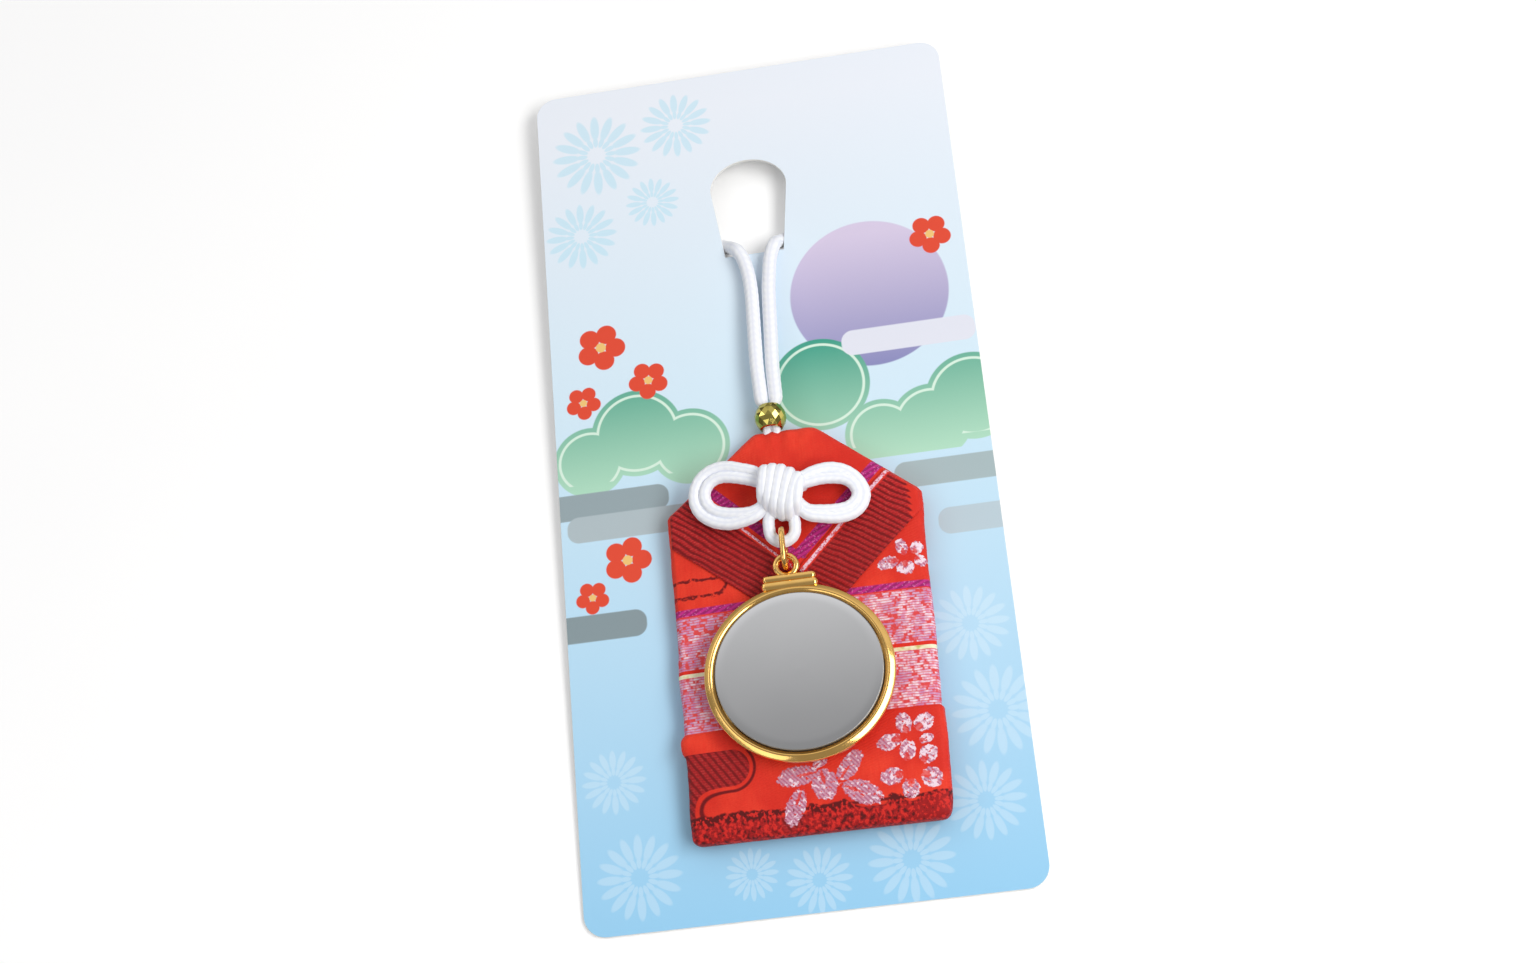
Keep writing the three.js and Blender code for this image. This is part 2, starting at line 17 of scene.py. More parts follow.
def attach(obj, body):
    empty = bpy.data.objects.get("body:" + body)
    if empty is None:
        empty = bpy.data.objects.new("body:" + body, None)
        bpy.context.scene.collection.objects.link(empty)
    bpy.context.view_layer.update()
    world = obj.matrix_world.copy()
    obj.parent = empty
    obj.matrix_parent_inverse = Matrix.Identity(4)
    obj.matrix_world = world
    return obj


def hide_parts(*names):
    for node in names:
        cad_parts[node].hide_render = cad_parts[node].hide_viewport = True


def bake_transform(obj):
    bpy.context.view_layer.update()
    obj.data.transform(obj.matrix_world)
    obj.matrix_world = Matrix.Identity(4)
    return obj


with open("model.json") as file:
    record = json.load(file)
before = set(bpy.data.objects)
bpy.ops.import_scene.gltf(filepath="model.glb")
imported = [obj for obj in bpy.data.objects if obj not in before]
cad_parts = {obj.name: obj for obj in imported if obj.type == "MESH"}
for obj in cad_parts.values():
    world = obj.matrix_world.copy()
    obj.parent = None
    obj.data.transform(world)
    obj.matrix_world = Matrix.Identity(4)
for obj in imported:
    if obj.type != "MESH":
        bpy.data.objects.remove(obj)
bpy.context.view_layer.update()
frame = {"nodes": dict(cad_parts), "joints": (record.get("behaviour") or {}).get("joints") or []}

# Sizes in millimetres

MM = 0.001
CARD_HALF_WIDTH = 35.0
CARD_HALF_HEIGHT = 72.35
CARD_THICKNESS = 0.6
CARD_CORNER = 3.5
CARD_EDGE = 0.06  # bevel of the card's cut edges
KEYHOLE_FOOT = (0.4, 37.15)  # middle of the foot edge
KEYHOLE_FOOT_WIDTH = 9.8
KEYHOLE_SLOT = 12.45  # foot edge up to the widest line
KEYHOLE_WIDTH = 12.8  # along that line
KEYHOLE_RISE = 5.2  # widest line up to the top of the arch

CORD_RADIUS = 1.16
NECK_RADIUS = 0.74  # one strand squeezed in the bead
BOW_RADIUS = 0.98
BEAD_MIDDLE = (0.65, 6.3, 2.6)

POUCH_BACK = 0.32
POUCH_FRONT = 3.7
POUCH_MIDDLE = (POUCH_FRONT + POUCH_BACK) / 2
BOW_MIDDLE = (1.8, -7.75, POUCH_FRONT)
FRAME_MIDDLE = (1.75, -37.15)
FRAME_SQUASH = 27.7 / 29.0  # its length to its width
BLOCK_X = 1.55
MIRROR_EDGE_START = 12.7  # its ground edge begins there
RING_WIRE = 0.46  # radius
EYE_MIDDLE = (1.2, -19.95, 6.0)

# The card lies on its back loop of cord, so that its top edge is a little raised
card_normal = Vector(next(j["axis"] for j in frame["joints"] if j["name"] == "ring_swing"))
TILT = math.asin(-card_normal.y)
CARD_Y = -MM * CARD_THICKNESS / 2 * math.sin(TILT)
CARD_Z = MM * (CARD_HALF_HEIGHT * math.sin(TILT) + CARD_THICKNESS * math.cos(TILT))
CARD = Matrix.Translation((0, CARD_Y, CARD_Z)) @ Matrix.Rotation(TILT, 4, "X")


def in_frame(point):
    """A point of the card's frame in the shared frame, in metres."""
    return CARD @ (MM * Vector([float(c) for c in point]))


def srgb(red, green, blue):
    """A colour as it looks, up to 255, in the linear form that shaders take."""
    shares = [c / 255 for c in (red, green, blue)]
    return [s / 12.92 if s < 0.04045 else ((s + 0.055) / 1.055) ** 2.4 for s in shares] + [1.0]


def heading(degrees):
    """Cosine and sine of a turn."""
    return math.cos(math.radians(degrees)), math.sin(math.radians(degrees))


# Patterns and materials


def feed(tree, entry, value):
    """Sets a node's input to a value, or links it to a field or an output."""
    if isinstance(value, Field):
        value = value.socket
    if isinstance(value, bpy.types.NodeSocket):
        tree.links.new(value, entry)
    else:
        entry.default_value = value


def add_node(tree, kind, entries=(), **settings):
    """A new shader node with settings and fed entries."""
    node = tree.nodes.new("ShaderNode" + kind)
    for words, value in settings.items():
        setattr(node, words, value)
    for entry, value in dict(entries).items():
        feed(tree, node.inputs[entry], value)
    return node


class Field:
    """A number that varies over a surface: a node's output."""

    def __init__(self, tree, socket):
        self.tree = tree
        self.socket = socket

    def through(self, operation, *others):
        """The field and other values put through a math node."""
        node = add_node(self.tree, "Math", enumerate((self, *others)), operation=operation)
        return Field(self.tree, node.outputs[0])

    __add__ = __radd__ = partialmethod(through, "ADD")
    __mul__ = __rmul__ = partialmethod(through, "MULTIPLY")
    __sub__ = partialmethod(through, "SUBTRACT")
    __truediv__ = partialmethod(through, "DIVIDE")
    __abs__ = partialmethod(through, "ABSOLUTE")
    most = partialmethod(through, "MAXIMUM")
    sine = partialmethod(through, "SINE")
    root = partialmethod(through, "SQRT")

    def __rsub__(self, other):
        return self.through("MULTIPLY_ADD", -1.0, other)

    def below(self, edge, soft=0.05):
        """1 under the edge and 0 over it, with a soft border."""
        entries = {"Value": edge - self, "From Min": -soft, "From Max": soft}
        node = add_node(self.tree, "MapRange", entries, interpolation_type="SMOOTHSTEP")
        return Field(self.tree, node.outputs["Result"])

    def above(self, edge, soft=0.05):
        return 1.0 - self.below(edge, soft)

    def between(self, low, high, soft=0.05):
        return self.below(high, soft) * self.above(low, soft)


def merged(operation, fields):
    """One field from several, such as the least of them."""
    whole, *others = fields
    for other in others:
        whole = whole.through(operation, other)
    return whole


def squares(a, b):
    return a * a + b * b


class Finish:
    """A material whose patterns are in millimetres, in its object's frame."""

    def __init__(self, name, **settings):
        self.material = bpy.data.materials.new(name)
        self.material.use_nodes = True
        self.tree = self.material.node_tree
        self.shader = self.tree.nodes["Principled BSDF"]
        for words, value in settings.items():
            self.put(words.replace("_", " ").title().replace("Ior", "IOR"), value)
        entries = {0: add_node(self.tree, "TexCoord").outputs["Object"], "Scale": 1 / MM}
        self.place = add_node(self.tree, "VectorMath", entries, operation="SCALE").outputs[0]
        parts = add_node(self.tree, "SeparateXYZ", {0: self.place})
        self.x, self.y, self.z = (Field(self.tree, s) for s in parts.outputs)

    def put(self, entry, value):
        feed(self.tree, self.shader.inputs[entry], value)

    def cloud(self, place, per_mm, detail):
        entries = {"Vector": place, "Scale": per_mm, "Detail": detail}
        return Field(self.tree, add_node(self.tree, "TexNoise", entries).outputs[0])

    def noise(self, per_mm, stretch=(1, 1, 1), detail=2.0):
        """Cloudy variation about 0.5, with so many lumps to the millimetre."""
        mapped = add_node(self.tree, "VectorMath", {0: self.place, 1: stretch}, operation="MULTIPLY")
        return self.cloud(mapped.outputs[0], per_mm, detail)

    def noise_at(self, x, y, per_mm):
        """Cloudy variation read at other coordinates."""
        joined = add_node(self.tree, "CombineXYZ", {0: x, 1: y})
        return self.cloud(joined.outputs[0], per_mm, 1.0)

    def attribute(self, name):
        """A number stored on the mesh's points."""
        node = add_node(self.tree, "Attribute", attribute_name=name)
        return Field(self.tree, node.outputs["Fac"])

    def mix(self, under, over, share):
        """One colour over another by a share from 0 to 1. A tuple is a colour as it looks, up to 255."""
        node = add_node(self.tree, "Mix", {"Factor": share}, data_type="RGBA")
        entries = [s for s in node.inputs if s.type == "RGBA"]
        for entry, colour in zip(entries, (under, over)):
            feed(self.tree, entry, srgb(*colour) if isinstance(colour, tuple) else colour)
        return next(s for s in node.outputs if s.type == "RGBA")

    def distance(self, x, y):
        """From a point on the card's face."""
        return squares(self.x - x, self.y - y).root()

    def bar(self, x, y, half_length, half_height, radius):
        """Distance outside a rounded bar that lies along x."""
        across = (abs(self.x - x) - half_length).most(0.0)
        up = (abs(self.y - y) - half_height).most(0.0)
        return squares(across, up).root() - radius

    def petal(self, x, y, length, width, turn, back=0.0, long=1.0, wide=1.0):
        """Under 1 inside a petal at that turn from x, or a gap in it, set back and sized in shares."""
        cosine, sine = heading(turn)
        right, up = self.x - (x - back * length * cosine), self.y - (y - back * length * sine)
        along = (right * cosine + up * sine) * (2 / (long * length))
        return squares(along, (up * cosine - right * sine) * (2 / (wide * width)))

    def rosette(self, x, y, petals, turn=0.0):
        """Distance along and across the nearest of the petals round a point."""
        angle = (self.y - y).through("ARCTAN2", self.x - x) * (petals / math.tau) + (turn + 0.5)
        folded = (angle.through("FRACT") - 0.5) * (math.tau / petals)
        reach = self.distance(x, y)
        return reach * folded.through("COSINE"), reach * folded.sine()

    def ribs(self, turn, pitch):
        """Waves from -1 to 1 whose crests run at that turn in degrees from x."""
        cosine, sine = heading(turn)
        return ((self.y * cosine - self.x * sine) * (math.tau / pitch)).sine()

    def colour(self, value):
        self.ground = value
        self.put("Base Color", value)

    def lay(self, colour, share):
        """Lays one more colour over the ground."""
        self.colour(self.mix(self.ground, colour, share))

    def bump(self, height, depth):
        """Fine relief, depth in millimetres."""
        node = add_node(self.tree, "Bump", {"Distance": depth * MM, "Height": height})
        self.put("Normal", node.outputs["Normal"])


# Colours of the brocade
RED = (226, 46, 28)
RED_LIGHT = (238, 70, 46)
RED_SHADE = (206, 34, 24)
DARK_RED = (112, 14, 18)
RIB_CREST = (198, 38, 40)
RIB_DARK = (122, 16, 20)
PURPLE = (192, 42, 132)
PURPLE_DARK = (134, 24, 88)
PINK = (228, 164, 194)
LILAC = (182, 108, 172)
SILVER_PINK = (184, 108, 136)
SILVER = (246, 228, 240)
GOLD_THREAD = (206, 190, 112)


def cord_finish():
    f = Finish("cord_white", roughness=0.75, sheen_weight=0.1, specular_ior_level=0.3)
    fibres = f.noise(9.0)
    ridge = f.mix((246, 248, 253), (252, 253, 255), fibres)
    # Painted shade: where the plait's relief is low, in its grooves, the cord is darker and bluer
    f.colour(f.mix((233, 236, 246), ridge, f.attribute("relief")))
    f.bump(fibres, 0.015)
    return f.material


def gilt_finish(name, colour, shade, roughness):
    f = Finish(name, metallic=1.0)
    f.colour(f.mix(colour, shade, f.noise(0.6)))
    f.put("Roughness", f.noise(5.0, stretch=(1, 6, 1)) * 0.08 + roughness)
    f.bump(f.noise(3.0), 0.004)
    return f.material


def mirror_finish():
    f = Finish("mirror", metallic=1.0)
    across, up = f.x - FRAME_MIDDLE[0], (f.y - FRAME_MIDDLE[1]) / FRAME_SQUASH
    ground_edge = squares(across, up).root().above(MIRROR_EDGE_START, 0.02)
    silver = f.mix((222, 223, 225), (228, 228, 230), f.noise(0.1))
    f.colour(f.mix(silver, (172, 172, 172), ground_edge))
    f.put("Roughness", f.noise(2.0) * 0.03 + 0.03 + ground_edge * 0.45)
    return f.material


def plain_finish(name, light, dark, per_mm, stretch, roughness):
    """A paper, board or wood with a fine grain."""
    f = Finish(name, roughness=roughness)
    grain = f.noise(per_mm, stretch, detail=4.0)
    f.colour(f.mix(light, dark, grain))
    f.bump(grain, 0.02)
    return f.material


def woven_red(f):
    """The red ground of the brocade, with its fine upright warp."""
    warped = f.mix(RED, RED_LIGHT, f.noise(4.0, stretch=(1, 0.12, 1)))
    return f.mix(warped, RED_SHADE, f.noise(0.12).between(0.5, 1.0, 0.14) * 0.7)


def ribbed(f, wave, turn, shade):
    """Twisted red thread on the crests of a wave, and dark grooves, all darker by a share of painted shade.
    """
    wave = wave + (f.noise(1.7) - 0.5) * 2.0
    twist = f.ribs(turn + 55, 0.4).below(0.0, 0.6)
    crest = f.mix(RIB_CREST, (208, 64, 60), f.noise(3.0).above(0.58, 0.06))
    crest = f.mix(crest, DARK_RED, twist * 0.35)
    return f.mix(f.mix(crest, RIB_DARK, wave.below(-0.3, 0.55)), RIB_DARK, shade)


# Petals of the woven blossoms: middle, length, width and turn in degrees
BLOSSOM_PETALS = [
    (16.3, -46.3, 2.9, 2.1, 100), (19.3, -46.5, 2.9, 2.3, 40), (13.8, -49.0, 3.3, 2.2, 195),
    (16.4, -50.5, 2.8, 2.2, 80), (19.4, -49.0, 2.0, 1.3, 15), (19.4, -51.4, 2.7, 2.4, 50),
    (13.7, -54.2, 3.2, 2.3, 190), (16.3, -56.3, 2.7, 2.4, 265), (19.6, -54.9, 2.9, 2.7, 330),
    (19.05, -18.6, 2.4, 1.7, 105), (21.35, -18.9, 2.1, 1.8, 50), (21.7, -21.0, 1.9, 1.6, 320),
    (19.3, -21.9, 2.0, 2.5, 265), (16.7, -20.9, 2.9, 1.9, 195),
]
LEAF_PETALS = [
    (-0.4, -52.5, 5.6, 2.7, 185), (7.6, -51.8, 5.2, 2.4, 48), (3.6, -54.2, 4.2, 3.6, 280),
    (-1.1, -57.1, 5.4, 2.6, 245), (9.1, -56.0, 5.6, 3.0, 335), (3.2, -50.9, 2.2, 1.2, 20),
]


def nearest_petal(f, rows, *gap):
    """Under 1 inside any of the petals, or of the gaps in them."""
    return merged("MINIMUM", (f.petal(*row, *gap) for row in rows))


BROCADE = {"roughness": 0.6, "sheen_weight": 0.05, "specular_ior_level": 0.2}


def brocade_finish():
    f = Finish("brocade", **BROCADE)
    x, y = f.x, f.y
    f.colour(woven_red(f))
    purple = f.mix(PURPLE, PURPLE_DARK, f.ribs(28, 0.8).below(0.1, 0.5) * 0.7)
    purple = f.mix(purple, (232, 146, 200), f.noise(3.0).above(0.62, 0.05) * 0.45)

    # Purple stripes beside the collar
    right_stripe = abs(x - y - 20.9).below(1.35, 0.12) * y.below(-2.0)
    left_stripe = abs(x + y + 15.2).below(1.15, 0.12)
    front = f.z.above(POUCH_MIDDLE)
    stripes = right_stripe.most(left_stripe) * y.between(-18.4, -2.0)
    f.lay(purple, stripes * f.noise(2.2).above(0.3, 0.08) * front)

    # Stream lines at the left above the pale band
    stream = abs(f.bar(-16.5, -20.9, 6.5, 0.2, 1.2) + (f.noise(0.8) - 0.5) * 1.2).below(0.24, 0.12)
    f.lay(DARK_RED, stream * f.noise(1.8).above(0.4, 0.1))

    # Pale band of short floats, bunched above its gold line and even below it
    row = y / 0.4 + (f.noise(0.5) - 0.5) * 0.8
    along = f.noise_at(x, row.through("FLOOR") * 3.7, 1.25)
    on_row = abs(row.through("FRACT") - 0.5).below(0.38, 0.12)
    bunch = (f.noise(0.8) - 0.5) * (0.7 - y.below(-34.8, 0.5) * 0.4)
    pale_band = y.between(-43.9, -25.5, 0.1)
    floats = (along + bunch).above(0.42, 0.08) * on_row * pale_band
    pale = f.mix(PINK, SILVER, f.noise(1.4).above(0.5, 0.1))
    pale = f.mix(pale, LILAC, (f.noise(0.45) + x.below(-8.0, 6.0) * 0.1).above(0.54, 0.1) * 0.6)
    f.lay((222, 84, 92), pale_band * 0.6)
    f.lay(pale, floats * 0.92)
    f.lay(RED, y.between(-34.5, -33.9))
    gold = f.mix(GOLD_THREAD, (244, 238, 204), f.noise(0.5).above(0.48, 0.1))
    f.lay(gold, y.between(-35.1, -34.5))
    f.lay(purple, y.between(-25.25, -24.15, 0.12))

    # Ribbed lobe at the lower left with its outline
    lobe = f.bar(-16.2, -50.0, 6.0, 0.0, 2.8).through("SMOOTH_MIN", x + 16.4, 6.0)
    lobe = lobe.through("SMOOTH_MIN", y + 58.2, 3.0)
    # Painted shade: the lobe's ribs are darker by a share, evenly over the lobe
    f.lay(ribbed(f, f.ribs(-55, 0.95), -55, 0.4), lobe.below(0.0, 0.1) * y.below(-47.2))
    f.lay(DARK_RED, abs(lobe - 0.75).below(0.22, 0.12) * y.below(-47.6))

    # Mottled foot band, darkest along its upper edge, which keeps clear of the leaves
    near = nearest_petal(f, BLOSSOM_PETALS + LEAF_PETALS)
    edge = (f.noise(0.5, stretch=(1, 0.1, 1)) - 0.5) * 2.2 - 56.9
    blotch = f.noise(1.8, stretch=(1, 0.8, 1), detail=3.0)
    mottled = f.mix((210, 40, 33), (158, 22, 24), blotch.above(0.45, 0.05))
    fade = (y - edge + 1.4).below(0.4, 0.9) * 0.16 + x.above(17.0, 2.5) * 0.08
    mottled = f.mix(mottled, (92, 14, 16), (blotch - fade).above(0.43, 0.04))
    f.lay(mottled, y.below(edge, 0.15) * near.above(2.0, 0.3))

    # Blossoms and leaves in hatched silver pink, with slits of the red ground
    hearts = nearest_petal(f, BLOSSOM_PETALS, 0.44, 0.72, 0.46)
    slits = nearest_petal(f, LEAF_PETALS, 0.26, 0.5, 0.17)
    gaps = (hearts.through("MINIMUM", slits) + (f.noise(3.0) - 0.5) * 2.4).below(1.0, 0.3)
    blossoms = (near + (f.noise(1.8) - 0.5) * 1.6).below(1.2, 0.12) * (1.0 - gaps * 0.85)
    hatch = f.ribs(-50, 0.5) + (f.noise(4.0) - 0.5) * 1.2
    # Painted highlight: white glints of silver on the petals, more of them towards the right
    painted_glint = (f.noise(1.5) + x.above(14.0, 6.0) * 0.1).above(0.59, 0.06)
    petals = f.mix(f.mix(SILVER_PINK, (204, 148, 170), hatch.below(0.0, 0.7)), SILVER, painted_glint * 0.85)
    f.lay(petals, blossoms * f.noise(2.4).above(0.37, 0.06))

    weave = f.ribs(20, 0.42) * 0.2 + f.noise(5.0, stretch=(0.6, 1.4, 1)) + floats * 0.5
    f.bump(weave + blossoms * 0.6, 0.06)
    return f.material


# Collar flaps: side, where the pink thread runs in x towards that side less y, turn of the ribs, corners
FLAPS = {
    "left": (-1, 17.5, -38, [(-12.3, -4.9), (-16.6, -8.6), (-16.75, -13.9), (-4.0, -24.4), (2.2, -19.6)]),
    "right": (1, 23.85, -33, [(17.9, -5.3), (2.6, -20.1), (9.0, -25.6), (22.7, -12.7), (22.7, -9.4)]),
}
RIB_PITCH = 0.9


def flap_finish(word):
    """A collar flap: red edge, pink thread and a broad ribbed band."""
    side, thread_at, turn, _ = FLAPS[word]
    f = Finish(f"brocade_ribbed_{word}", **BROCADE)
    inward = f.x * side - f.y
    ribs = (f.attribute("rib_phase") * math.tau).sine()
    in_band = inward.above(thread_at + 0.75, 0.15)
    if side > 0:
        ragged = ribs * 0.35 + (f.noise(2.0) - 0.5) * 0.8
        in_band = in_band * (rib_reach(f.x, f.y) + ragged).below(0.0, 0.25)
    # Painted shade: the ribbed band grows darker towards the flap's tip
    shade = f.y.below(-13.0, 8.0) * 0.35
    band = f.mix(woven_red(f), ribbed(f, ribs, turn, shade), in_band)
    fleck = f.noise(3.0).above(0.38, 0.05)
    thread = f.mix((206, 96, 124), (240, 206, 220), f.noise(3.4).above(0.45, 0.08))
    f.colour(f.mix(band, thread, abs(inward - thread_at).below(0.4, 0.08) * fleck))
    f.bump(f.noise(6.0), 0.04)
    return f.material


def rib_reach(x, y):
    """Distance past the line where the right flap's ribs end, short of its edge."""
    slant = x * 0.861 + y * 0.507 - 13.5
    upright = x - 21.1
    return slant.most(upright) if isinstance(slant, Field) else max(slant, upright)


def card_finish():
    """Traditional motifs on a lavender to sky-blue ground, with white paper behind."""
    f = Finish("card_print", roughness=0.5, specular_ior_level=0.25)
    x, y = f.x, f.y
    up = (y + CARD_HALF_HEIGHT) / (2 * CARD_HALF_HEIGHT)
    lower = f.mix((152, 206, 240), (206, 232, 247), up * 1.8)
    f.colour(f.mix(lower, (236, 241, 250), (up - 0.5) * 2.2))

    # Soft chrysanthemums
    for tint, share, rosettes in ROSETTES:
        for cx, cy, radius in rosettes:
            along, across = f.rosette(cx, cy, 16)
            petals = []
            for middle, half_length, half_width in ((0.7, 0.3, 0.1), (0.34, 0.13, 0.055)):
                far = (along - middle * radius) / (half_length * radius)
                wide = across / (half_width * radius)
                petals.append(squares(far, wide).below(1.0, 0.35))
            f.lay(tint, merged("MAXIMUM", petals) * share)

    # Moon behind the mist
    moon_tint = f.mix((128, 124, 182), (214, 198, 226), (y - 14.0) / 24.0)
    f.lay(moon_tint, f.distance(18.5, 27.0).below(13.0, 0.15) * 0.9)

    # Green pine clouds
    pines = merged("MINIMUM", (f.distance(cx, cy) - radius for cx, cy, radius in PINES))
    pine_tint = f.mix((178, 222, 196), (24, 150, 128), (y + 2.0) / 24.0)
    f.lay(pine_tint, pines.below(0.0, 0.12) * y.above(-2.0, 0.1))
    outline = abs(pines + 1.0).below(0.22, 0.1) * y.above(0.2, 0.1)
    f.lay((216, 240, 224), outline)

    # Grey mist bars
    for cx, cy, half_length, tint in MISTS:
        f.lay(tint, f.bar(cx, cy, half_length, 0.3, 1.9).below(0.0, 0.12))

    # Vermilion plum blossoms
    for cx, cy, radius, turn in PLUMS:
        along, across = f.rosette(cx, cy, 5, turn)
        petal = squares(along - radius * 0.58, across).root()
        f.lay((226, 76, 52), petal.below(radius * 0.4, 0.1))
        f.lay((240, 196, 120), f.distance(cx, cy).below(radius * 0.2, 0.08))

    paper = f.mix((236, 236, 232), (246, 246, 244), f.noise(2.0, detail=4.0))
    f.lay(paper, f.z.below(-0.02, 0.015))
    f.bump(f.noise(1.6, detail=4.0), 0.006)
    return f.material


# Colour, its share, and middle and radius of each chrysanthemum
ROSETTES = [
    ((178, 226, 244), 0.5, [
        (-25.0, 60.0, 7.5), (-11.0, 63.5, 6.0), (-28.5, 45.0, 6.0), (-16.0, 49.5, 4.5),
    ]),
    ((232, 246, 254), 0.25, [
        (28.0, -31.0, 6.0), (30.5, -45.0, 7.0), (27.0, -58.5, 6.0), (15.0, -66.0, 6.5), (1.0, -67.5, 5.0),
        (-9.0, -65.5, 4.0), (-26.0, -64.0, 6.5), (-29.0, -49.0, 5.0),
    ]),
]
PINES = [
    (-29.5, 4.0, 6.0), (-21.5, 8.0, 7.5), (-13.0, 4.5, 6.5), (26.0, 3.0, 6.5), (33.0, 6.5, 7.5),
    (18.0, 2.0, 6.0), (9.0, 12.0, 8.0),
]
MISTS = [
    (-27.0, -3.5, 8.0, (150, 166, 172)), (-20.0, -7.4, 12.0, (176, 190, 196)),
    (-30.0, -24.0, 6.0, (136, 152, 158)), (29.0, -5.5, 8.0, (168, 186, 190)),
    (24.0, 18.5, 9.0, (226, 228, 240)), (33.0, -14.0, 6.0, (186, 204, 214)),
]
PLUMS = [
    (-26.5, 24.0, 4.2, 0.1), (-19.0, 17.0, 3.4, 0.35), (-30.0, 14.5, 3.0, 0.2),
    (-24.5, -13.5, 4.0, 0.05), (-30.5, -19.0, 2.8, 0.3), (29.5, 36.0, 3.6, 0.25),
]


# Mesh helpers


def placed(name, data):
    made = bpy.data.objects.new(name, data)
    bpy.context.scene.collection.objects.link(made)
    return made


def mesh_of(name, shape, scale=MM):
    points, faces = shape
    mesh = bpy.data.meshes.new(name)
    mesh.from_pydata([[scale * float(c) for c in p] for p in points], [], faces)
    return mesh


def piece(name, shape, material, nodes, body, sharp=180):
    """A mesh in the card's frame that stands for CAD nodes, with the edges over an angle sharp."""
    mesh = mesh_of(name, shape)
    mesh.update()
    mesh.shade_smooth()
    mesh.set_sharp_from_angle(angle=math.radians(sharp))
    mesh.materials.append(material)
    made = placed(name, mesh)
    made.matrix_world = CARD
    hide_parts(*nodes)
    if body:
        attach(made, body)
    return made


def store(made, name, values):
    """Keeps a number for each of a mesh's points."""
    stored = made.data.attributes.new(name, "FLOAT", "POINT")
    stored.data.foreach_set("value", np.array(values, np.float32))


def together(*shapes):
    """Several shapes as one."""
    points, faces = [], []
    for more_points, more_faces in shapes:
        first = len(points)
        points.extend(more_points)
        faces.extend(tuple(first + i for i in face) for face in more_faces)
    return points, faces


def ease(value, low, high):
    """A smooth rise from 0 at low to 1 at high."""
    t = np.clip((value - low) / (high - low), 0, 1)
    return t * t * (3 - 2 * t)


def unit(vectors):
    """The same directions, with length 1."""
    return vectors / np.linalg.norm(vectors, axis=-1, keepdims=True)


def arc(first, last, steps):
    """Cosine and sine at even steps from one angle to another."""
    return [(math.cos(a), math.sin(a)) for a in np.linspace(first, last, steps + 1)]


CORD_STEP = 0.2
SPAN_STEPS = 24


def curve_through(points):
    """Points at even steps along a smooth curve through placed ones."""
    p = np.array(points, float)
    p = np.vstack([2 * p[0] - p[1], p, 2 * p[-1] - p[-2]])
    t = np.arange(SPAN_STEPS)[:, None] / SPAN_STEPS
    fine = []
    for a, b, c, d in zip(p, p[1:], p[2:], p[3:]):
        bend = (2 * a - 5 * b + 4 * c - d) * t**2 + (3 * b - 3 * c + d - a) * t**3
        fine.append(b + 0.5 * ((c - a) * t + bend))
    fine = np.vstack([*fine, p[-2:-1]])
    run = np.r_[0, np.cumsum(np.linalg.norm(np.diff(fine, axis=0), axis=1))]
    at = np.linspace(0, run[-1], max(2, round(run[-1] / CORD_STEP)) + 1)
    return np.column_stack([np.interp(at, run, fine[:, i]) for i in range(3)])


def grid_faces(rows, columns, first=0, closed=False):
    """Quads between rings of points, and round the rings."""
    faces = []
    for i in range(rows if closed else rows - 1):
        here, there = first + i * columns, first + (i + 1) % rows * columns
        for j in range(columns):
            k = (j + 1) % columns
            faces.append((here + j, there + j, there + k, here + k))
    return faces


def end_faces(rows, columns):
    """Faces over the first and the last ring."""
    return [tuple(range(columns)), tuple(reversed(range((rows - 1) * columns, rows * columns)))]


def sweep(path, across, up, reference=(0, 0, 1), closed=False):
    """Tube round a path. across and up hold its section's points for each ring of the path."""
    path = np.asarray(path, float)
    ahead = unit(np.roll(path, -1, 0) - np.roll(path, 1, 0) if closed else np.gradient(path, axis=0))
    side = unit(np.cross(ahead, reference))
    rise = np.cross(side, ahead)
    rings = path[:, None] + across[..., None] * side[:, None] + up[..., None] * rise[:, None]
    rows, columns = across.shape
    faces = grid_faces(rows, columns, closed=closed)
    if not closed:
        faces += end_faces(rows, columns)
    return rings.reshape(-1, 3), faces


# Plaited cord: columns of slanting stitches
CORD_SIDES = 24
PLAIT_COLUMNS = 6
PLAIT_PITCH = 1.2
PLAIT_DEPTH = 0.07


def cord_tube(path, radius, flatness=1.0):
    """Points, faces and relief of a plaited cord along a path. radius may vary along it."""
    run = np.r_[0, np.cumsum(np.linalg.norm(np.diff(path, axis=0), axis=1))][:, None]
    angle = (np.arange(CORD_SIDES) / CORD_SIDES * math.tau - math.pi / 2)[None, :]
    column = PLAIT_COLUMNS * (angle / math.tau + 0.25)
    lean = np.abs(column % 2 - 1)
    stitch = 0.5 + 0.5 * np.cos(math.tau * (run / PLAIT_PITCH + 0.7 * lean))
    relief = np.abs(np.sin(math.pi * column)) ** 0.5 * (0.5 + 0.5 * stitch)
    reach = radius * (1 - PLAIT_DEPTH * (1 - relief))
    points, faces = sweep(path, reach * np.cos(angle), reach * np.sin(angle) * flatness)
    return points, faces, relief.ravel()


def cord_piece(name, tubes, nodes, body="charm"):
    """One piece of one or more plaited tubes."""
    shape = together(*(tube[:2] for tube in tubes))
    made = piece(name, shape, CORD_WHITE, nodes, body)
    store(made, "relief", np.concatenate([tube[2] for tube in tubes]))
    return made


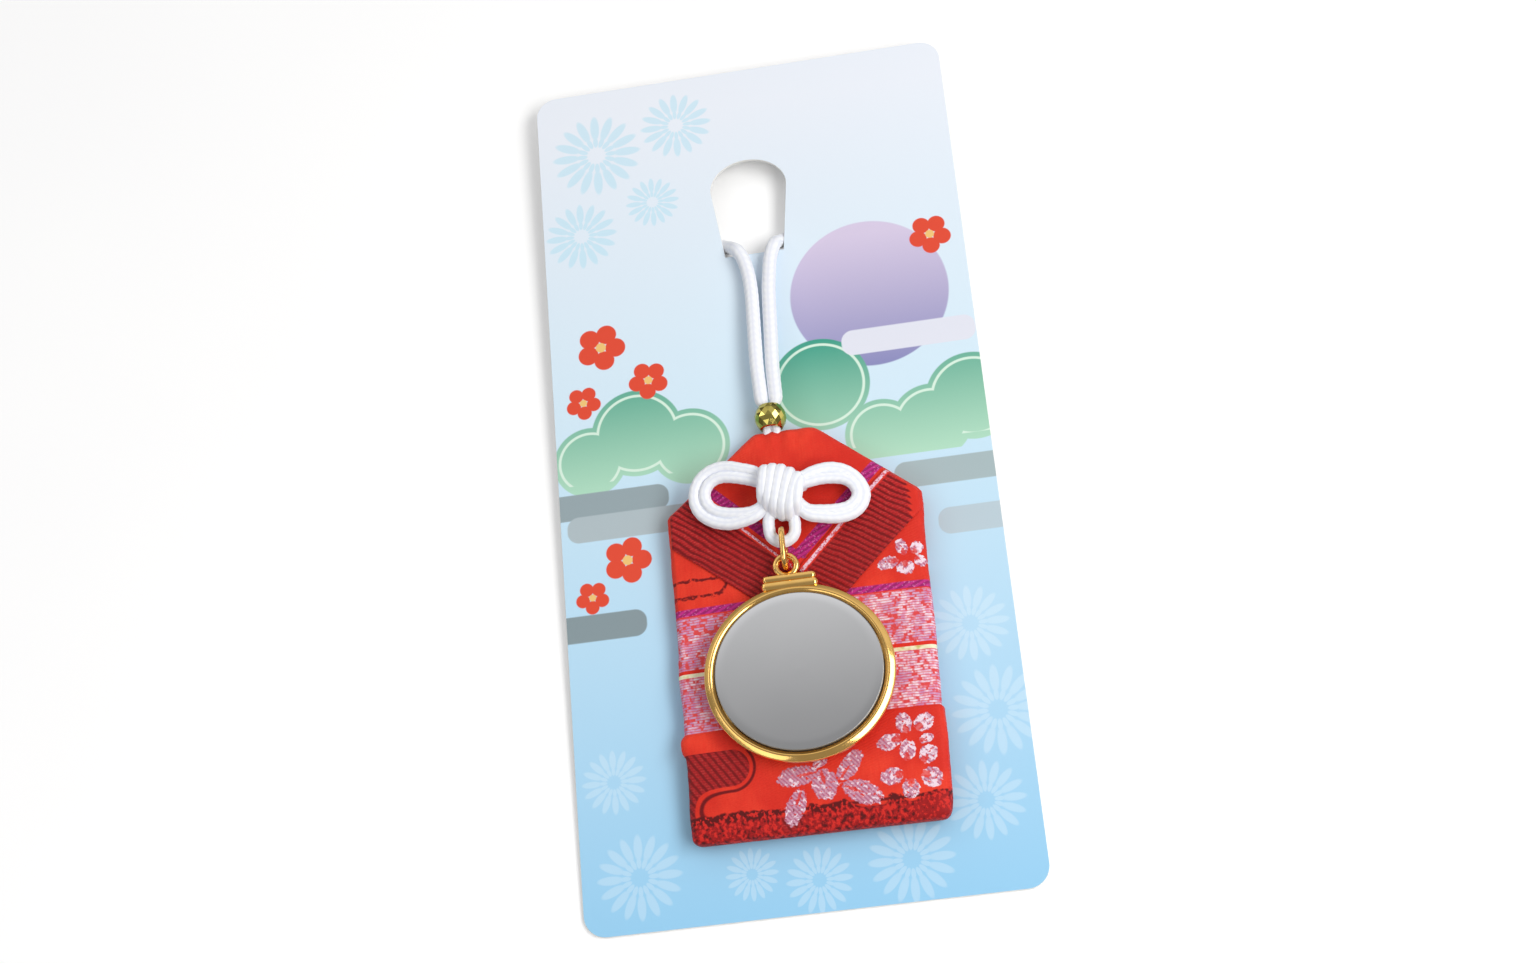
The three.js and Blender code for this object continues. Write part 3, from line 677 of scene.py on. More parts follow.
def rounded(corners, steps=8):
    """An outline with its corners (x, y, radius) cut to arcs."""
    points = []
    for i, (x, y, radius) in enumerate(corners):
        here = np.array([x, y])
        neighbours = corners[i - 1], corners[(i + 1) % len(corners)]
        back, on = (unit(np.array(corner[:2]) - here) for corner in neighbours)
        half = math.acos(float(np.clip(back @ on, -1, 1))) / 2
        middle = here + unit(back + on) * radius / math.sin(half)
        start, end = (here + way * radius / math.tan(half) - middle for way in (back, on))
        first = math.atan2(start[1], start[0])
        turn = (math.atan2(end[1], end[0]) - first + math.pi) % math.tau - math.pi
        points += [middle + radius * np.array(spot) for spot in arc(first, first + turn, steps)]
    return np.array(points)


def inset(loop, distance):
    """Moves a closed outline to its left, inwards if it runs anticlockwise."""
    edge = unit(np.roll(loop, -1, 0) - np.roll(loop, 1, 0))
    return loop + distance * np.column_stack([-edge[:, 1], edge[:, 0]])


def plate(loops, levels):
    """A plate whose loops have it on their left. Levels are (inset, z), both ends inset alike."""
    points, faces, tops, foots, flat = [], [], [], [], []
    for loop in loops:
        first, count = len(points), len(loop)
        for depth, z in levels:
            points.extend([x, y, z] for x, y in inset(loop, depth))
        faces.extend(tuple(reversed(f)) for f in grid_faces(len(levels), count, first))
        tops.extend(range(first, first + count))
        foots.extend(range(len(points) - count, len(points)))
        flat.append([Vector((x, y, 0)) for x, y, _ in points[first:first + count]])
    for triangle in tessellate_polygon(flat):
        a, b, c = (points[tops[i]] for i in triangle)
        upward = (b[0] - a[0]) * (c[1] - a[1]) > (b[1] - a[1]) * (c[0] - a[0])
        order = triangle if upward else triangle[::-1]
        faces.append(tuple(tops[i] for i in order))
        faces.append(tuple(foots[i] for i in reversed(order)))
    return points, faces


LATHE_STEPS = 128


def lathe(profile):
    """Turns a profile of (radius, z), upper end first, about the frame's middle."""
    x, y = FRAME_MIDDLE
    turns = arc(0.0, math.tau, LATHE_STEPS)[:-1]
    points = [(x + r * c, y + FRAME_SQUASH * r * s, z) for r, z in profile for c, s in turns]
    faces = [tuple(reversed(f)) for f in grid_faces(len(profile), LATHE_STEPS)]
    return points, faces + end_faces(len(profile), LATHE_STEPS)


CORD_WHITE = cord_finish()
GILT = gilt_finish("gilt", (254, 208, 128), (240, 188, 102), 0.08)
BEAD_GILT = gilt_finish("bead_gilt", (206, 192, 106), (184, 166, 82), 0.05)

# Camera, at the photograph's angle

CAMERA_PLACE = (34.396, -128.815, 321.623)
CAMERA_FORWARD = Vector((-0.10203, 0.361084, -0.926935))
CAMERA_UP = Vector((0.134167, 0.928279, 0.346839))
PHOTO_WIDTH = 1536
FOCAL_PIXELS = 2179.5


def make_camera():
    lens = bpy.data.cameras.new("camera")
    lens.sensor_width = 36.0
    lens.lens = lens.sensor_width * FOCAL_PIXELS / PHOTO_WIDTH
    lens.clip_start = 0.01
    lens.clip_end = 10.0
    camera = placed("camera", lens)
    right = CAMERA_FORWARD.cross(CAMERA_UP).normalized()
    up = right.cross(CAMERA_FORWARD).normalized()
    turned = Matrix((right, up, -CAMERA_FORWARD.normalized())).transposed()
    stand = Matrix.Translation(in_frame(CAMERA_PLACE)) @ CARD.to_3x3().to_4x4()
    camera.matrix_world = stand @ turned.to_4x4()
    bpy.context.scene.camera = camera


make_camera()

# Hanging loop: out of the pouch, through the bead, up the card's front, down through the keyhole, round
# behind the card and back. It is measured from the middle of the keyhole's foot edge.

# Legs: x of the left and of the right one, y and z
LOOP_LEGS = [
    (-0.9, 1.4, -27.6, 2.7), (-1.02, 1.38, -25.1, 2.65), (-1.15, 1.38, -21.5, 2.5),
    (-1.12, 1.55, -17.1, 2.25), (-1.02, 1.72, -12.1, 2.0), (-0.98, 1.9, -8.1, 1.75),
    (-1.2, 2.25, -4.6, 1.5), (-1.75, 2.7, -1.8, 1.45), (-2.6, 3.35, 0.15, 1.2),
]
LOOP_BACK = [
    (-3.65, 1.6, -0.2), (-5.0, 2.75, -1.7), (-6.8, 3.75, -1.9), (-9.2, 5.25, -1.9), (-11.6, 7.85, -1.9),
    (-13.3, 11.85, -1.9), (-13.2, 16.35, -1.9), (-11.0, 20.85, -1.9), (-6.8, 24.05, -1.9),
    (-0.1, 25.2, -1.9), (6.6, 24.05, -1.9), (10.8, 20.85, -1.9), (13.0, 16.35, -1.9),
    (13.0, 11.85, -1.9), (11.4, 7.85, -1.9), (9.0, 5.05, -1.9), (6.6, 3.5, -1.9), (4.9, 2.55, -1.7),
    (3.75, 1.55, -0.2),
]
# From the bead's axis, to both sides
NECK_ROUTE = [(0.7, 0.2, 2.0), (0.7, 2.2, 2.1), (0.72, 4.35, 2.45), (0.76, 6.3, 2.65), (0.86, 8.2, 2.75)]
NECK_TAPER = (7.9, 9.9)  # along y, from the neck's radius to the cord's


def hanging_loop():
    left, right = ([(leg[side], *leg[2:]) for leg in LOOP_LEGS] for side in (0, 1))
    route = left + LOOP_BACK + right[::-1]
    legs = [(x + KEYHOLE_FOOT[0], y + KEYHOLE_FOOT[1], z) for x, y, z in route]
    first, last = ([(BEAD_MIDDLE[0] + side * x, y, z) for x, y, z in NECK_ROUTE] for side in (-1, 1))
    path = curve_through(first + legs + last[::-1])
    radius = NECK_RADIUS + (CORD_RADIUS - NECK_RADIUS) * ease(path[:, 1:2], *NECK_TAPER)
    nodes = ["cord_leg_left", "cord_back_loop", "cord_leg_right", "cord_neck_left", "cord_neck_right"]
    loop = cord_piece("hanging_loop", [cord_tube(path, radius)], nodes, None)
    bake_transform(loop)


hanging_loop()

# Bow: two ears of two strands, a wound knot and a drop loop, measured from the knot's middle on the pouch

KNOT_LIFT = 3.175
EAR_TIP_LIFT = 1.7
EAR_ROUTES = {
    "left_outer": [
        (-4.2, 3.6), (-6.4, 4.55), (-8.0, 5.15), (-9.6, 5.35), (-11.3, 5.0), (-12.7, 4.1), (-13.6, 2.8),
        (-14.0, 1.2), (-13.8, -0.5), (-12.9, -2.1), (-11.3, -3.4), (-9.6, -4.1), (-8.0, -4.35),
        (-6.0, -4.15), (-4.3, -3.6),
    ],
    "left_inner": [
        (-3.9, 1.95), (-5.55, 2.65), (-7.5, 3.3), (-9.2, 3.65), (-10.6, 3.45), (-11.7, 2.7), (-12.3, 1.5),
        (-12.2, 0.1), (-11.55, -1.1), (-10.45, -1.95), (-9.1, -2.48), (-7.7, -2.78), (-6.1, -3.0),
        (-4.4, -2.85),
    ],
    "right_outer": [
        (3.8, 1.75), (5.3, 2.4), (7.6, 2.77), (9.75, 2.25), (11.4, 1.0), (12.35, -0.6), (12.62, -2.0),
        (12.25, -3.3), (11.4, -4.4), (10.0, -5.2), (7.9, -5.5), (5.6, -5.2), (3.6, -4.6),
    ],
    "right_inner": [
        (4.2, 0.75), (6.0, 1.07), (7.95, 1.06), (9.8, 0.7), (11.1, -0.3), (11.6, -1.8), (11.1, -3.1),
        (9.85, -4.0), (8.0, -4.28), (5.75, -4.2), (3.6, -3.8),
    ],
}
INNER_STRAND_LIFT = 0.35  # so that it lies over the outer strand
EAR_END_X = 2.0  # where a strand's ends are hidden in the knot
EAR_END_SPREAD = 0.55  # their y to that of the route's ends
EAR_FLATNESS = 0.92


def bow_tube(route, radius=BOW_RADIUS, flatness=1.0):
    """A plaited strand along a route from the knot's middle on the pouch."""
    path = [(BOW_MIDDLE[0] + x, BOW_MIDDLE[1] + y, BOW_MIDDLE[2] + z) for x, y, z in route]
    return cord_tube(curve_through(path), radius, flatness)


def make_ears():
    """Strands that come out of the knot, sink towards the ear's tip and go back."""
    for words, route in EAR_ROUTES.items():
        tip_lift = EAR_TIP_LIFT + (INNER_STRAND_LIFT if "inner" in words else 0.0)
        reach = [abs(x) for x, _ in route]
        near, far = min(reach), max(reach)
        sink = (tip_lift - KNOT_LIFT) / (far - near)
        path = [(x, y, KNOT_LIFT + sink * (abs(x) - near)) for x, y in route]
        end_x = math.copysign(EAR_END_X, route[0][0])
        start, end = ((end_x, EAR_END_SPREAD * route[i][1], KNOT_LIFT) for i in (0, -1))
        tube = bow_tube([start, *path, end], flatness=EAR_FLATNESS)
        cord_piece(f"ear_{words}_cord", [tube], [f"ear_{words}"])


# Upper and lower ends of the strands across the knot's front
KNOT_STRANDS = [
    ((-2.3, 3.2), (-3.0, -1.6)), ((-1.1, 3.3), (-2.3, -2.6)), ((0.2, 3.0), (-1.4, -3.4)),
    ((1.5, 2.3), (-0.3, -3.9)), ((2.6, 1.4), (0.8, -4.1)), ((3.0, 0.8), (2.0, -3.6)),
]
KNOT_HALF_DEPTH = 2.0
KNOT_FRONT = [(0.12, -0.3), (0.5, 0.15), (0.88, -0.4)]  # share of the way down, and lift
KNOT_BACK = 1.5  # how far back a strand's ends go
CORE_RADIUS = 1.3
CORE_STATIONS = (-3.2, -1.6, 0.0, 1.2, 2.4)
CORE_STRANDS = [(-0.8, 0.35), (0.3, -0.3), (0.7, 0.15)]  # lift and slope


def make_knot():
    """Strands that are wrapped over the knot's front, and the crossing ones inside."""
    wraps, crossing = [], []
    front = KNOT_LIFT + KNOT_HALF_DEPTH
    for (x0, y0), (x1, y1) in KNOT_STRANDS:
        route = [(x0, y0 - 0.4, KNOT_LIFT - KNOT_BACK), (x0, y0 + 0.25, KNOT_LIFT)]
        for share, lift in KNOT_FRONT:
            route.append((x0 + share * (x1 - x0), y0 + share * (y1 - y0), front + lift))
        route += [(x1, y1 - 0.2, KNOT_LIFT - 0.2), (x1, y1 + 0.4, KNOT_LIFT - KNOT_BACK)]
        wraps.append(bow_tube(route))
    for lift, slope in CORE_STRANDS:
        route = [(x, slope * x, KNOT_LIFT + lift) for x in CORE_STATIONS]
        crossing.append(bow_tube(route, CORE_RADIUS))
    cord_piece("knot_wraps", wraps, ["bow_knot"])
    cord_piece("knot_strands", crossing, ["knot_core"])


DROP_MIDDLE = -0.6
DROP_HALF_WIDTH = 2.0
DROP_TOP = -3.2
DROP_SHOULDER = -4.8
DROP_FOOT = -8.4
DROP_LIFT = 2.6
DROP_RADIUS = 0.95  # of its cord


def make_drop_loop():
    left, right = DROP_MIDDLE - DROP_HALF_WIDTH, DROP_MIDDLE + DROP_HALF_WIDTH
    route = [(left + 0.6, DROP_TOP, DROP_LIFT + 0.4), (left, DROP_SHOULDER, DROP_LIFT)]
    for cosine, sine in arc(math.pi, math.tau, 8):
        x = DROP_MIDDLE + DROP_HALF_WIDTH * cosine
        route.append((x, DROP_FOOT + DROP_HALF_WIDTH * (1 + sine), DROP_LIFT))
    route += [(right, DROP_SHOULDER, DROP_LIFT), (right - 0.4, DROP_TOP, DROP_LIFT + 0.4)]
    cord_piece("drop_loop_cord", [bow_tube(route, DROP_RADIUS)], ["drop_loop"])


make_ears()
make_knot()
make_drop_loop()

# Pouch: swollen by a cloth simulation at ten times its size, where the solver works well

POUCH_CORNERS = [
    (-17.35, -61.0, 1.6), (22.0, -61.2, 1.6), (23.2, -9.1, 1.4), (7.4, 3.95, 2.5), (-2.4, 3.95, 2.5),
    (-17.25, -8.4, 1.4),
]
POUCH_SECTION = [
    (1.6, 3.42), (0.75, 3.3), (0.2, 2.85), (0.0, 2.2), (0.0, 1.75), (0.2, 1.1), (0.75, 0.66), (1.6, 0.55),
]
SIMULATION_MM = 10 * MM
VOXEL = 0.55
SEAM_WIDTH = 0.9
SWELL_CAP = 0.45
SWELL_FRAMES = 20
CLOTH_SETTINGS = {
    "vertex_group_mass": "seam", "quality": 6, "mass": 0.3, "tension_stiffness": 12,
    "compression_stiffness": 12, "shear_stiffness": 4, "bending_stiffness": 0.4, "use_pressure": True,
    "uniform_pressure_force": 4,
}


def applied(made):
    """Replaces an object's mesh by what its modifiers make of it."""
    graph = bpy.context.evaluated_depsgraph_get()
    mesh = bpy.data.meshes.new_from_object(made.evaluated_get(graph))
    made.modifiers.clear()
    made.data = mesh


def places(made):
    return np.array([v.co for v in made.data.vertices], float)


def gap_to(loop, p):
    """Distance of flat points from an outline."""
    ahead = np.roll(loop, -1, 0) - loop
    share = ((p[:, None] - loop) * ahead).sum(2) / (ahead**2).sum(1)
    near = loop + np.clip(share, 0, 1)[..., None] * ahead
    return np.linalg.norm(p[:, None] - near, axis=2).min(1)


def swell(solid):
    """Lets the filling press the cloth out between its seams, up to a cap."""
    before = places(solid)
    seam = solid.vertex_groups.new(name="seam")
    gap = gap_to(rounded(POUCH_CORNERS), before[:, :2] / SIMULATION_MM)
    seam.add([int(i) for i in np.nonzero(gap < SEAM_WIDTH)[0]], 1.0, "ADD")
    cloth = solid.modifiers.new("cloth", "CLOTH")
    for words, value in CLOTH_SETTINGS.items():
        setattr(cloth.settings, words, value)
    cloth.settings.effector_weights.gravity = 0
    cloth.collision_settings.use_collision = False
    cloth.point_cache.frame_end = SWELL_FRAMES
    for frame_number in range(1, SWELL_FRAMES + 1):
        bpy.context.scene.frame_set(frame_number)
    applied(solid)
    bpy.context.scene.frame_set(1)
    moved = places(solid) - before
    length = np.linalg.norm(moved, axis=1)[:, None]
    cap = SIMULATION_MM * SWELL_CAP
    after = before + moved * np.minimum(1, cap / np.maximum(length, 1e-9))
    solid.data.vertices.foreach_set("co", after.astype(np.float32).ravel())


FOLD_Y = -44.0  # lower edge of the pale band, where the lower layer begins
FOLD_PROUD = 0.4


def pouch_details(p):
    """Layer step, gathers at the mouth and small unevenness on the swollen pouch."""
    x, y, z = p.T.copy()
    front = ease(z, POUCH_MIDDLE, POUCH_MIDDLE + 0.8)
    right, left = ease(x, 20.8, 22.0), ease(-x, 15.9, 17.2)
    lower = ease(-y, -FOLD_Y - 0.2, -FOLD_Y + 0.25)
    x += right * lower * FOLD_PROUD * ease(y, -62.0, -45.0)
    roll = np.exp(-(((y + 45.6) / 1.4) ** 4)) * ease(-x, 12.0, 17.0)
    x -= 0.45 * roll * left
    x += 0.2 * left * ease(-y, 46.9, 47.6) * ease(y, -56.0, -50.0)
    z += front * (lower * 0.3 + 0.35 * roll)
    gather = ease(y, -2.5, 4.0) * np.exp(-(((x - BEAD_MIDDLE[0]) / 4.5) ** 2))
    z += 0.14 * gather * np.cos(2.4 * (x - BEAD_MIDDLE[0])) * np.sign(z - POUCH_MIDDLE)
    rough = np.array([noise.noise(Vector((0.16 * a, 0.16 * b, 0.4 * c))) for a, b, c in p])
    fine = np.array([noise.noise(Vector((0.7 * a, 0.7 * b, 3.0 + 0.7 * c))) for a, b, c in p])
    z += front * (0.16 * rough + 0.05 * fine)
    x += (right - left) * (0.22 * rough + 0.08 * fine)
    z = np.maximum(z, POUCH_BACK + 0.02)
    return np.column_stack([x, y, z])


def make_pouch():
    shape = plate([rounded(POUCH_CORNERS)], POUCH_SECTION)
    solid = placed("pouch", mesh_of("pouch", shape, SIMULATION_MM))
    even = solid.modifiers.new("even", "REMESH")
    even.mode = "VOXEL"
    even.voxel_size = SIMULATION_MM * VOXEL
    applied(solid)
    swell(solid)
    solid.modifiers.new("smooth", "SUBSURF").levels = 1
    applied(solid)
    points = pouch_details(places(solid) / SIMULATION_MM)
    faces = [tuple(f.vertices) for f in solid.data.polygons]
    bpy.data.objects.remove(solid)
    pouch = piece("pouch_cloth", (points, faces), brocade_finish(), ["bag_pouch"], "charm")
    return pouch, BVHTree.FromPolygons([Vector(p) for p in points], faces)


pouch_cloth, pouch_tree = make_pouch()

# Collar flaps: thin ribbed layers that lie on the pouch's front

FLAP_STEP = 0.22
FLAP_CORNER = 0.5
FLAP_THICKNESS = 0.32
FLAP_LIFT = 0.05
RIB_HEIGHT = 0.11
RIB_WANDER = 0.28  # in pitches
RIB_START = (0.4, 1.2)  # past the pink thread
RIM_DROP = 0.12
RIM_WIDTH = 0.14  # kept free of inner points


def flap_mesh(corners):
    """Flat points and triangles of a flap, and the numbers of the points on its rim."""
    loop = rounded([(x, y, FLAP_CORNER) for x, y in corners], 3)
    edges = []
    for a, b in zip(loop, np.roll(loop, -1, 0)):
        count = max(1, round(np.linalg.norm(b - a) / FLAP_STEP))
        edges.extend(a + (b - a) * k / count for k in range(count))
    low, high = loop.min(0), loop.max(0)
    inner = inset(np.array(edges), RIM_WIDTH)
    grid = [
        (x, y)
        for x in np.arange(low[0], high[0], FLAP_STEP)
        for y in np.arange(low[1], high[1], FLAP_STEP)
        if inside(x, y, inner)
    ]
    flat = [Vector(p) for p in edges + grid]
    count = len(edges)
    border = [(i, (i + 1) % count) for i in range(count)]
    spots, _, triangles, origin, *_ = delaunay_2d_cdt(flat, border, [], 1, 1e-5)
    rim = {k for k, source in enumerate(origin) if any(i < count for i in source)}
    return spots, triangles, rim


def inside(x, y, loop):
    a, b = loop, np.roll(loop, -1, 0)
    crosses = (a[:, 1] > y) != (b[:, 1] > y)
    at = a[:, 0] + (y - a[:, 1]) * (b[:, 0] - a[:, 0]) / np.where(b[:, 1] == a[:, 1], 1, b[:, 1] - a[:, 1])
    return bool((crosses & (x < at)).sum() % 2)


def make_flap(word):
    side, thread_at, turn, corners = FLAPS[word]
    cosine, sine = heading(turn)
    spots, triangles, rim = flap_mesh(corners)
    tops, foots, phases = [], [], []
    for k, (x, y) in enumerate(spots):
        hit = pouch_tree.ray_cast(Vector((x, y, 20.0)), Vector((0, 0, -1)))[0]
        base = (POUCH_FRONT if hit is None else hit.z) + FLAP_LIFT
        inward = x * side - y
        wander = RIB_WANDER * noise.noise(Vector((0.3 * x, 0.3 * y, 7.0)))
        phases.append((y * cosine - x * sine) / RIB_PITCH + wander)
        wave = math.sin(math.tau * phases[-1])
        ribs_end = 1.0 if side < 0 else float(ease(-rib_reach(x, y), -0.3, 0.3))
        rib = RIB_HEIGHT * wave * ribs_end * float(ease(inward - thread_at, *RIB_START))
        tops.append((x, y, base + FLAP_THICKNESS + (-RIM_DROP if k in rim else rib)))
        foots.append((x, y, base))
    count = len(spots)
    faces = [tuple(t) for t in triangles] + [tuple(count + i for i in reversed(t)) for t in triangles]
    edges = [edge for t in triangles for edge in zip(t, t[1:] + t[:1])]
    shared = set(edges)
    faces += [(b, a, count + a, count + b) for a, b in edges if (b, a) not in shared]
    name, nodes = f"flap_{word}_cloth", [f"collar_flap_{word}"]
    flap = piece(name, (tops + foots, faces), flap_finish(word), nodes, "charm")
    store(flap, "rib_phase", phases + phases)


for flap_word in FLAPS:
    make_flap(flap_word)

# Bead, cut in flat facets, rows set half a facet round from each other

BEAD_FACETS = 14
BEAD_PROFILE = [
    (1.5, 1.98), (1.85, 1.9), (2.32, 1.12), (2.56, 0.36), (2.56, -0.36), (2.32, -1.12), (1.85, -1.9),
    (1.5, -1.98),
]


def make_bead():
    x, y, z = BEAD_MIDDLE
    points, faces = [], []
    for row, (radius, along) in enumerate(BEAD_PROFILE):
        for k in range(BEAD_FACETS):
            angle = (k + 0.5 * (row % 2)) / BEAD_FACETS * math.tau
            points.append((x + radius * math.cos(angle), y + along, z + radius * math.sin(angle)))
    last = len(points) - BEAD_FACETS
    ring = [(k, (k + 1) % BEAD_FACETS) for k in range(BEAD_FACETS)]
    for here in range(0, last, BEAD_FACETS):
        turned = here // BEAD_FACETS % 2
        for k, n in ring:
            a, b, c, d = here + k, here + n, here + BEAD_FACETS + k, here + BEAD_FACETS + n
            faces += [(d, c, a), (b, d, a)] if turned else [(b, c, a), (d, c, b)]
    faces += [(last + k, last + n, n, k) for k, n in ring]
    bead = piece("bead_facets", (points, faces), BEAD_GILT, ["cord_bead"], "bead")
    bead.data.shade_flat()


make_bead()

# Jump ring, pendant frame with its eye and block, and mirror

RING_END = 1.9
RING_LOW, RING_HIGH = -18.5, -16.15
RING_PLACE = (1.2, 6.6)  # x and z


def wire_ring(path, sides, radius, reference=(0, 0, 1)):
    """A closed ring of round wire."""
    angle = np.arange(sides) / sides * math.tau
    across, up = (np.tile(radius * part, (len(path), 1)) for part in (np.cos(angle), np.sin(angle)))
    return sweep(path, across, up, reference, closed=True)


def make_jump_ring():
    x, z = RING_PLACE
    path = []
    for middle, first in ((RING_HIGH, 0.0), (RING_LOW, math.pi)):
        for cosine, sine in arc(first, first + math.pi, 24):
            path.append((x, middle + RING_END * sine, z + RING_END * cosine))
    shape = wire_ring(path, 16, RING_WIRE, reference=(1, 0, 0))
    piece("ring_wire", shape, GILT, ["jump_ring"], "ring")


FRAME_PROFILE = [
    (0.01, 5.4), (12.98, 5.4), (12.98, 6.85), (13.02, 6.95), (13.32, 7.07), (13.42, 7.15), (13.54, 7.21),
    (13.66, 7.21), (13.78, 7.18), (13.86, 7.14), (14.4, 6.86), (14.48, 6.81), (14.56, 6.68), (14.6, 6.42),
    (14.58, 6.05), (14.5, 5.5), (14.2, 4.95), (13.7, 4.65), (13.2, 4.6), (0.01, 4.6),
]
MIRROR_FRONT = 7.6  # its face near the edge
MIRROR_CROWN = 0.2  # height of its slight dome
MIRROR_RADII = (0.01, 2.0, 4.0, 6.0, 8.0, 10.0, 11.2, 11.6, 11.9, 12.2, 12.45, 12.6, 12.72)
MIRROR_FALL = (11.4, 0.025)  # radius where its face starts to curve down, and how fast
MIRROR_EDGE = [(12.8, 7.5), (12.85, 7.4), (12.85, 5.95), (12.75, 5.9), (0.01, 5.9)]
EYE_RADIUS = 1.6
EYE_WIRE = 0.52  # radius
# Bars of the block on the frame: y, z, half length, half height and half depth
SADDLE = (-23.3, 6.0, 4.45, 0.75, 1.2)
COLLAR = (-22.15, 6.05, 4.2, 0.6, 1.1)
BAR_END = 0.86  # share of its half length where an end starts to taper
BAR_TIP = 0.45  # its section at the tip
BAR_SQUARE = 0.5  # power that makes its section square with soft edges


def rounded_bar(y, z, half_length, half_height, half_depth):
    """A bar along x with soft edges and rounded ends."""
    stations = np.linspace(-1, 1, 25)
    path = [(BLOCK_X + half_length * s, y, z) for s in stations]
    end = np.clip((np.abs(stations) - BAR_END) / (1 - BAR_END), 0, 1)
    taper = (BAR_TIP + (1 - BAR_TIP) * np.sqrt(1 - end**2))[:, None]
    angle = np.arange(32) / 32 * math.tau
    across, up = (np.sign(s) * np.abs(s) ** BAR_SQUARE for s in (np.cos(angle), np.sin(angle)))
    return sweep(path, half_height * taper * across, half_depth * taper * up)


def make_frame():
    x, y, z = EYE_MIDDLE
    turns = arc(0.0, math.tau, 48)[:-1]
    eye = wire_ring([(x + EYE_RADIUS * c, y + EYE_RADIUS * s, z) for c, s in turns], 20, EYE_WIRE)
    shape = together(lathe(FRAME_PROFILE), rounded_bar(*SADDLE), rounded_bar(*COLLAR), eye)
    piece("frame_gilt", shape, GILT, ["pendant_frame"], "pendant", 50)


def make_mirror():
    fall_start, fall = MIRROR_FALL
    dome = []
    for reach in MIRROR_RADII:
        crown = MIRROR_CROWN * (1 - (reach / MIRROR_EDGE_START) ** 2)
        dome.append((reach, MIRROR_FRONT + crown - fall * max(0.0, reach - fall_start) ** 2))
    shape = lathe(dome + MIRROR_EDGE)
    piece("mirror_glass", shape, mirror_finish(), ["mirror_disc"], "pendant", 14)


make_jump_ring()
make_frame()
make_mirror()

# Display card


def make_card():
    w, h = CARD_HALF_WIDTH, CARD_HALF_HEIGHT
    outer = rounded([(x, y, CARD_CORNER) for x, y in ((-w, -h), (w, -h), (w, h), (-w, h))], 12)
    # The keyhole runs clockwise, so that the card is on its left
    x, y = KEYHOLE_FOOT
    keyhole = [(x + KEYHOLE_FOOT_WIDTH / 2, y), (x - KEYHOLE_FOOT_WIDTH / 2, y)]
    for cosine, sine in arc(math.pi, 0.0, 48):
        keyhole.append((x + KEYHOLE_WIDTH / 2 * cosine, y + KEYHOLE_SLOT + KEYHOLE_RISE * sine))
    e, t = CARD_EDGE, CARD_THICKNESS
    shape = plate([outer, np.array(keyhole)], [(e, 0.0), (0.0, -e), (0.0, e - t), (e, -t)])
    piece("card_sheet", shape, card_finish(), ["display_card"], "card", 25)


make_card()

# Inner pieces keep their CAD shapes

INNER_FINISHES = {
    "stiffener_board": ("board", (196, 176, 146), (168, 146, 116), 3.0, (1, 1, 1), 0.9),
    "paper_wrapper": ("paper", (243, 238, 222), (228, 220, 198), 1.5, (1, 1, 1), 0.85),
    "prayer_slip": ("thin_wood", (222, 194, 148), (196, 160, 110), 1.2, (3, 0.15, 1), 0.7),
    "adhesive_pad": ("pad", (222, 222, 214), (200, 200, 192), 6.0, (1, 1, 1), 0.9),
}
for node_name, looks in INNER_FINISHES.items():
    materials = frame["nodes"][node_name].data.materials
    materials.clear()
    materials.append(plain_finish(*looks))

# Floor, light and picture

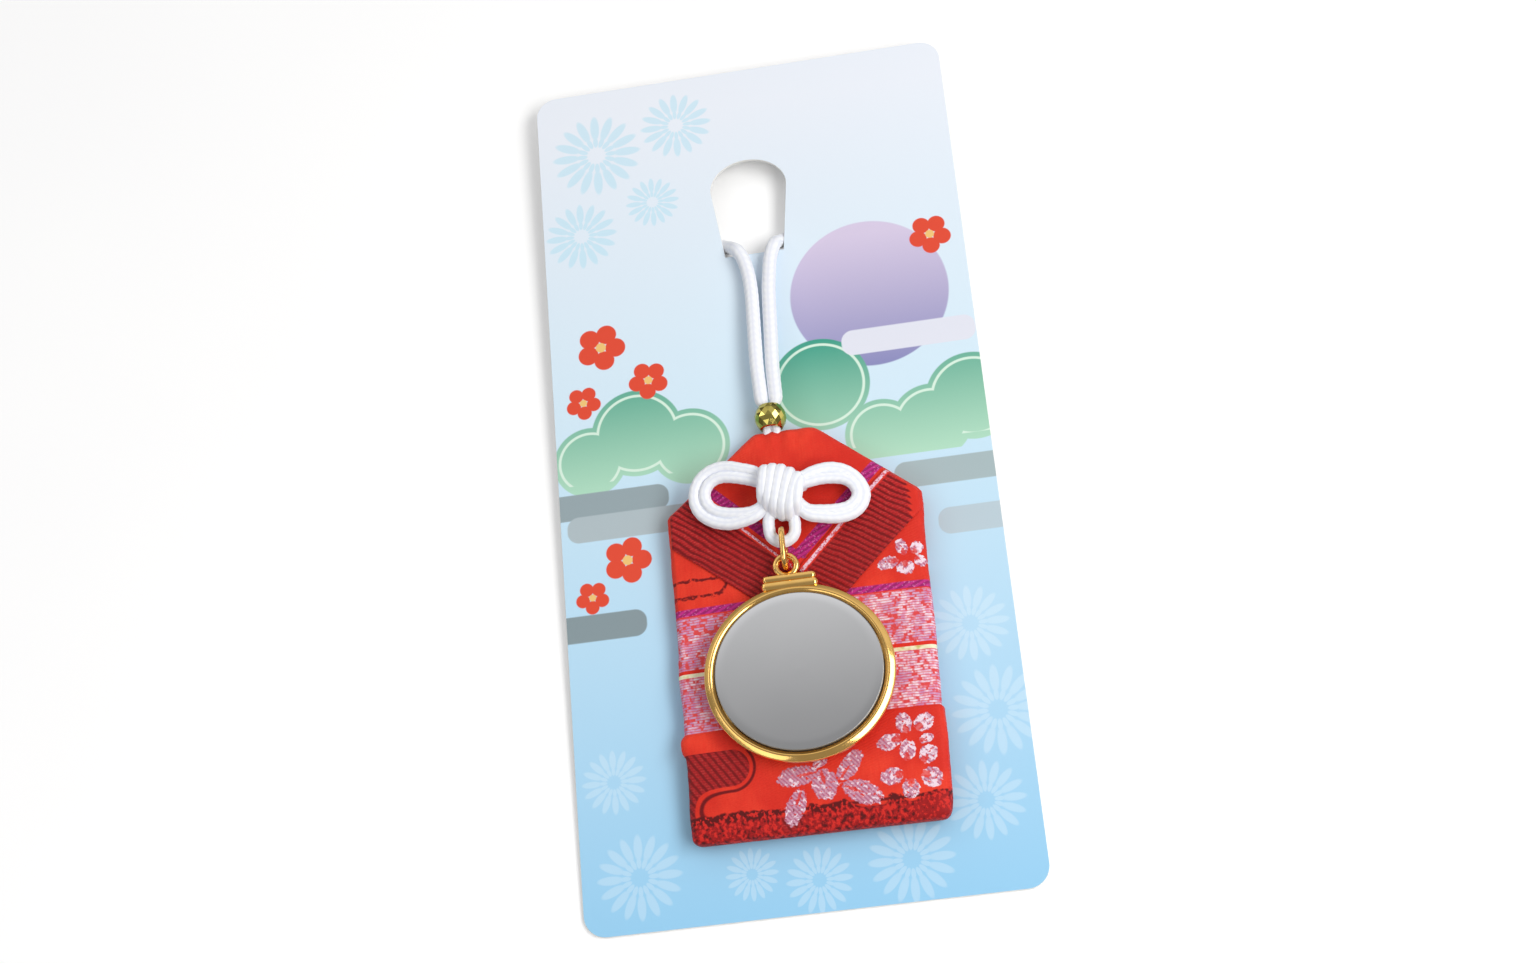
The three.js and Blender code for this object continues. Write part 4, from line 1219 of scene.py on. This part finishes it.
FLOOR_HALF = 1.5  # in metres
FLOOR_GLOW = 0.12
WHITE = (1.0, 1.0, 1.0, 1.0)
ROOM_LIGHT = 0.13
ROOM_TOP = 0.2  # added from above
ROOM_BACK = 0.5  # added from above and behind


def make_floor():
    h = FLOOR_HALF
    corners = [(-h, -h, 0), (h, -h, 0), (h, h, 0), (-h, h, 0)]
    floor = placed("floor", mesh_of("floor", (corners, [(0, 1, 2, 3)]), 1.0))
    f = Finish("floor", roughness=0.9)
    f.colour(f.mix((250, 250, 250), (247, 247, 248), f.noise(0.02)))
    rays = add_node(f.tree, "LightPath").outputs
    kinds = ("Is Camera Ray", "Is Glossy Ray", "Is Transmission Ray")
    seen = merged("MAXIMUM", (Field(f.tree, rays[words]) for words in kinds))
    f.put("Emission Color", WHITE)
    f.put("Emission Strength", seen * FLOOR_GLOW)
    floor.data.materials.append(f.material)


# Place and size in metres, power and colour
LIGHTS = {
    "key": ((0.43, -0.14, 0.50), (0.72, 0.26), 3.62, (1.0, 0.99, 0.97)),
    "fill": ((-0.40, -0.28, 0.44), (0.62, 0.16), 0.42, (0.98, 0.99, 1.0)),
    "edge": ((-0.46, 0.22, 0.34), (0.32, 0.07), 0.2, (1.0, 1.0, 1.0)),
}


def make_light():
    for name, (place, size, power, colour) in LIGHTS.items():
        data = bpy.data.lights.new(name, "AREA")
        data.shape = "RECTANGLE"
        data.size, data.size_y = size
        data.energy = power
        data.color = colour
        turn = Vector(place).to_track_quat("Z", "Y")
        placed(name, data).matrix_world = Matrix.LocRotScale(Vector(place), turn, None)
    world = bpy.data.worlds.new("studio")
    world.use_nodes = True
    tree = world.node_tree
    parts = add_node(tree, "SeparateXYZ", {0: add_node(tree, "TexCoord").outputs["Generated"]})
    y, z = (Field(tree, parts.outputs[axis]) for axis in ("Y", "Z"))
    height = z.above(0.3, 0.3)
    strength = height * ROOM_TOP + y.above(0.3, 0.2) * height * ROOM_BACK + ROOM_LIGHT
    background = tree.nodes["Background"].inputs
    background["Color"].default_value = WHITE
    feed(tree, background["Strength"], strength)
    bpy.context.scene.world = world


make_floor()
make_light()
bpy.context.scene.view_settings.view_transform = "Standard"
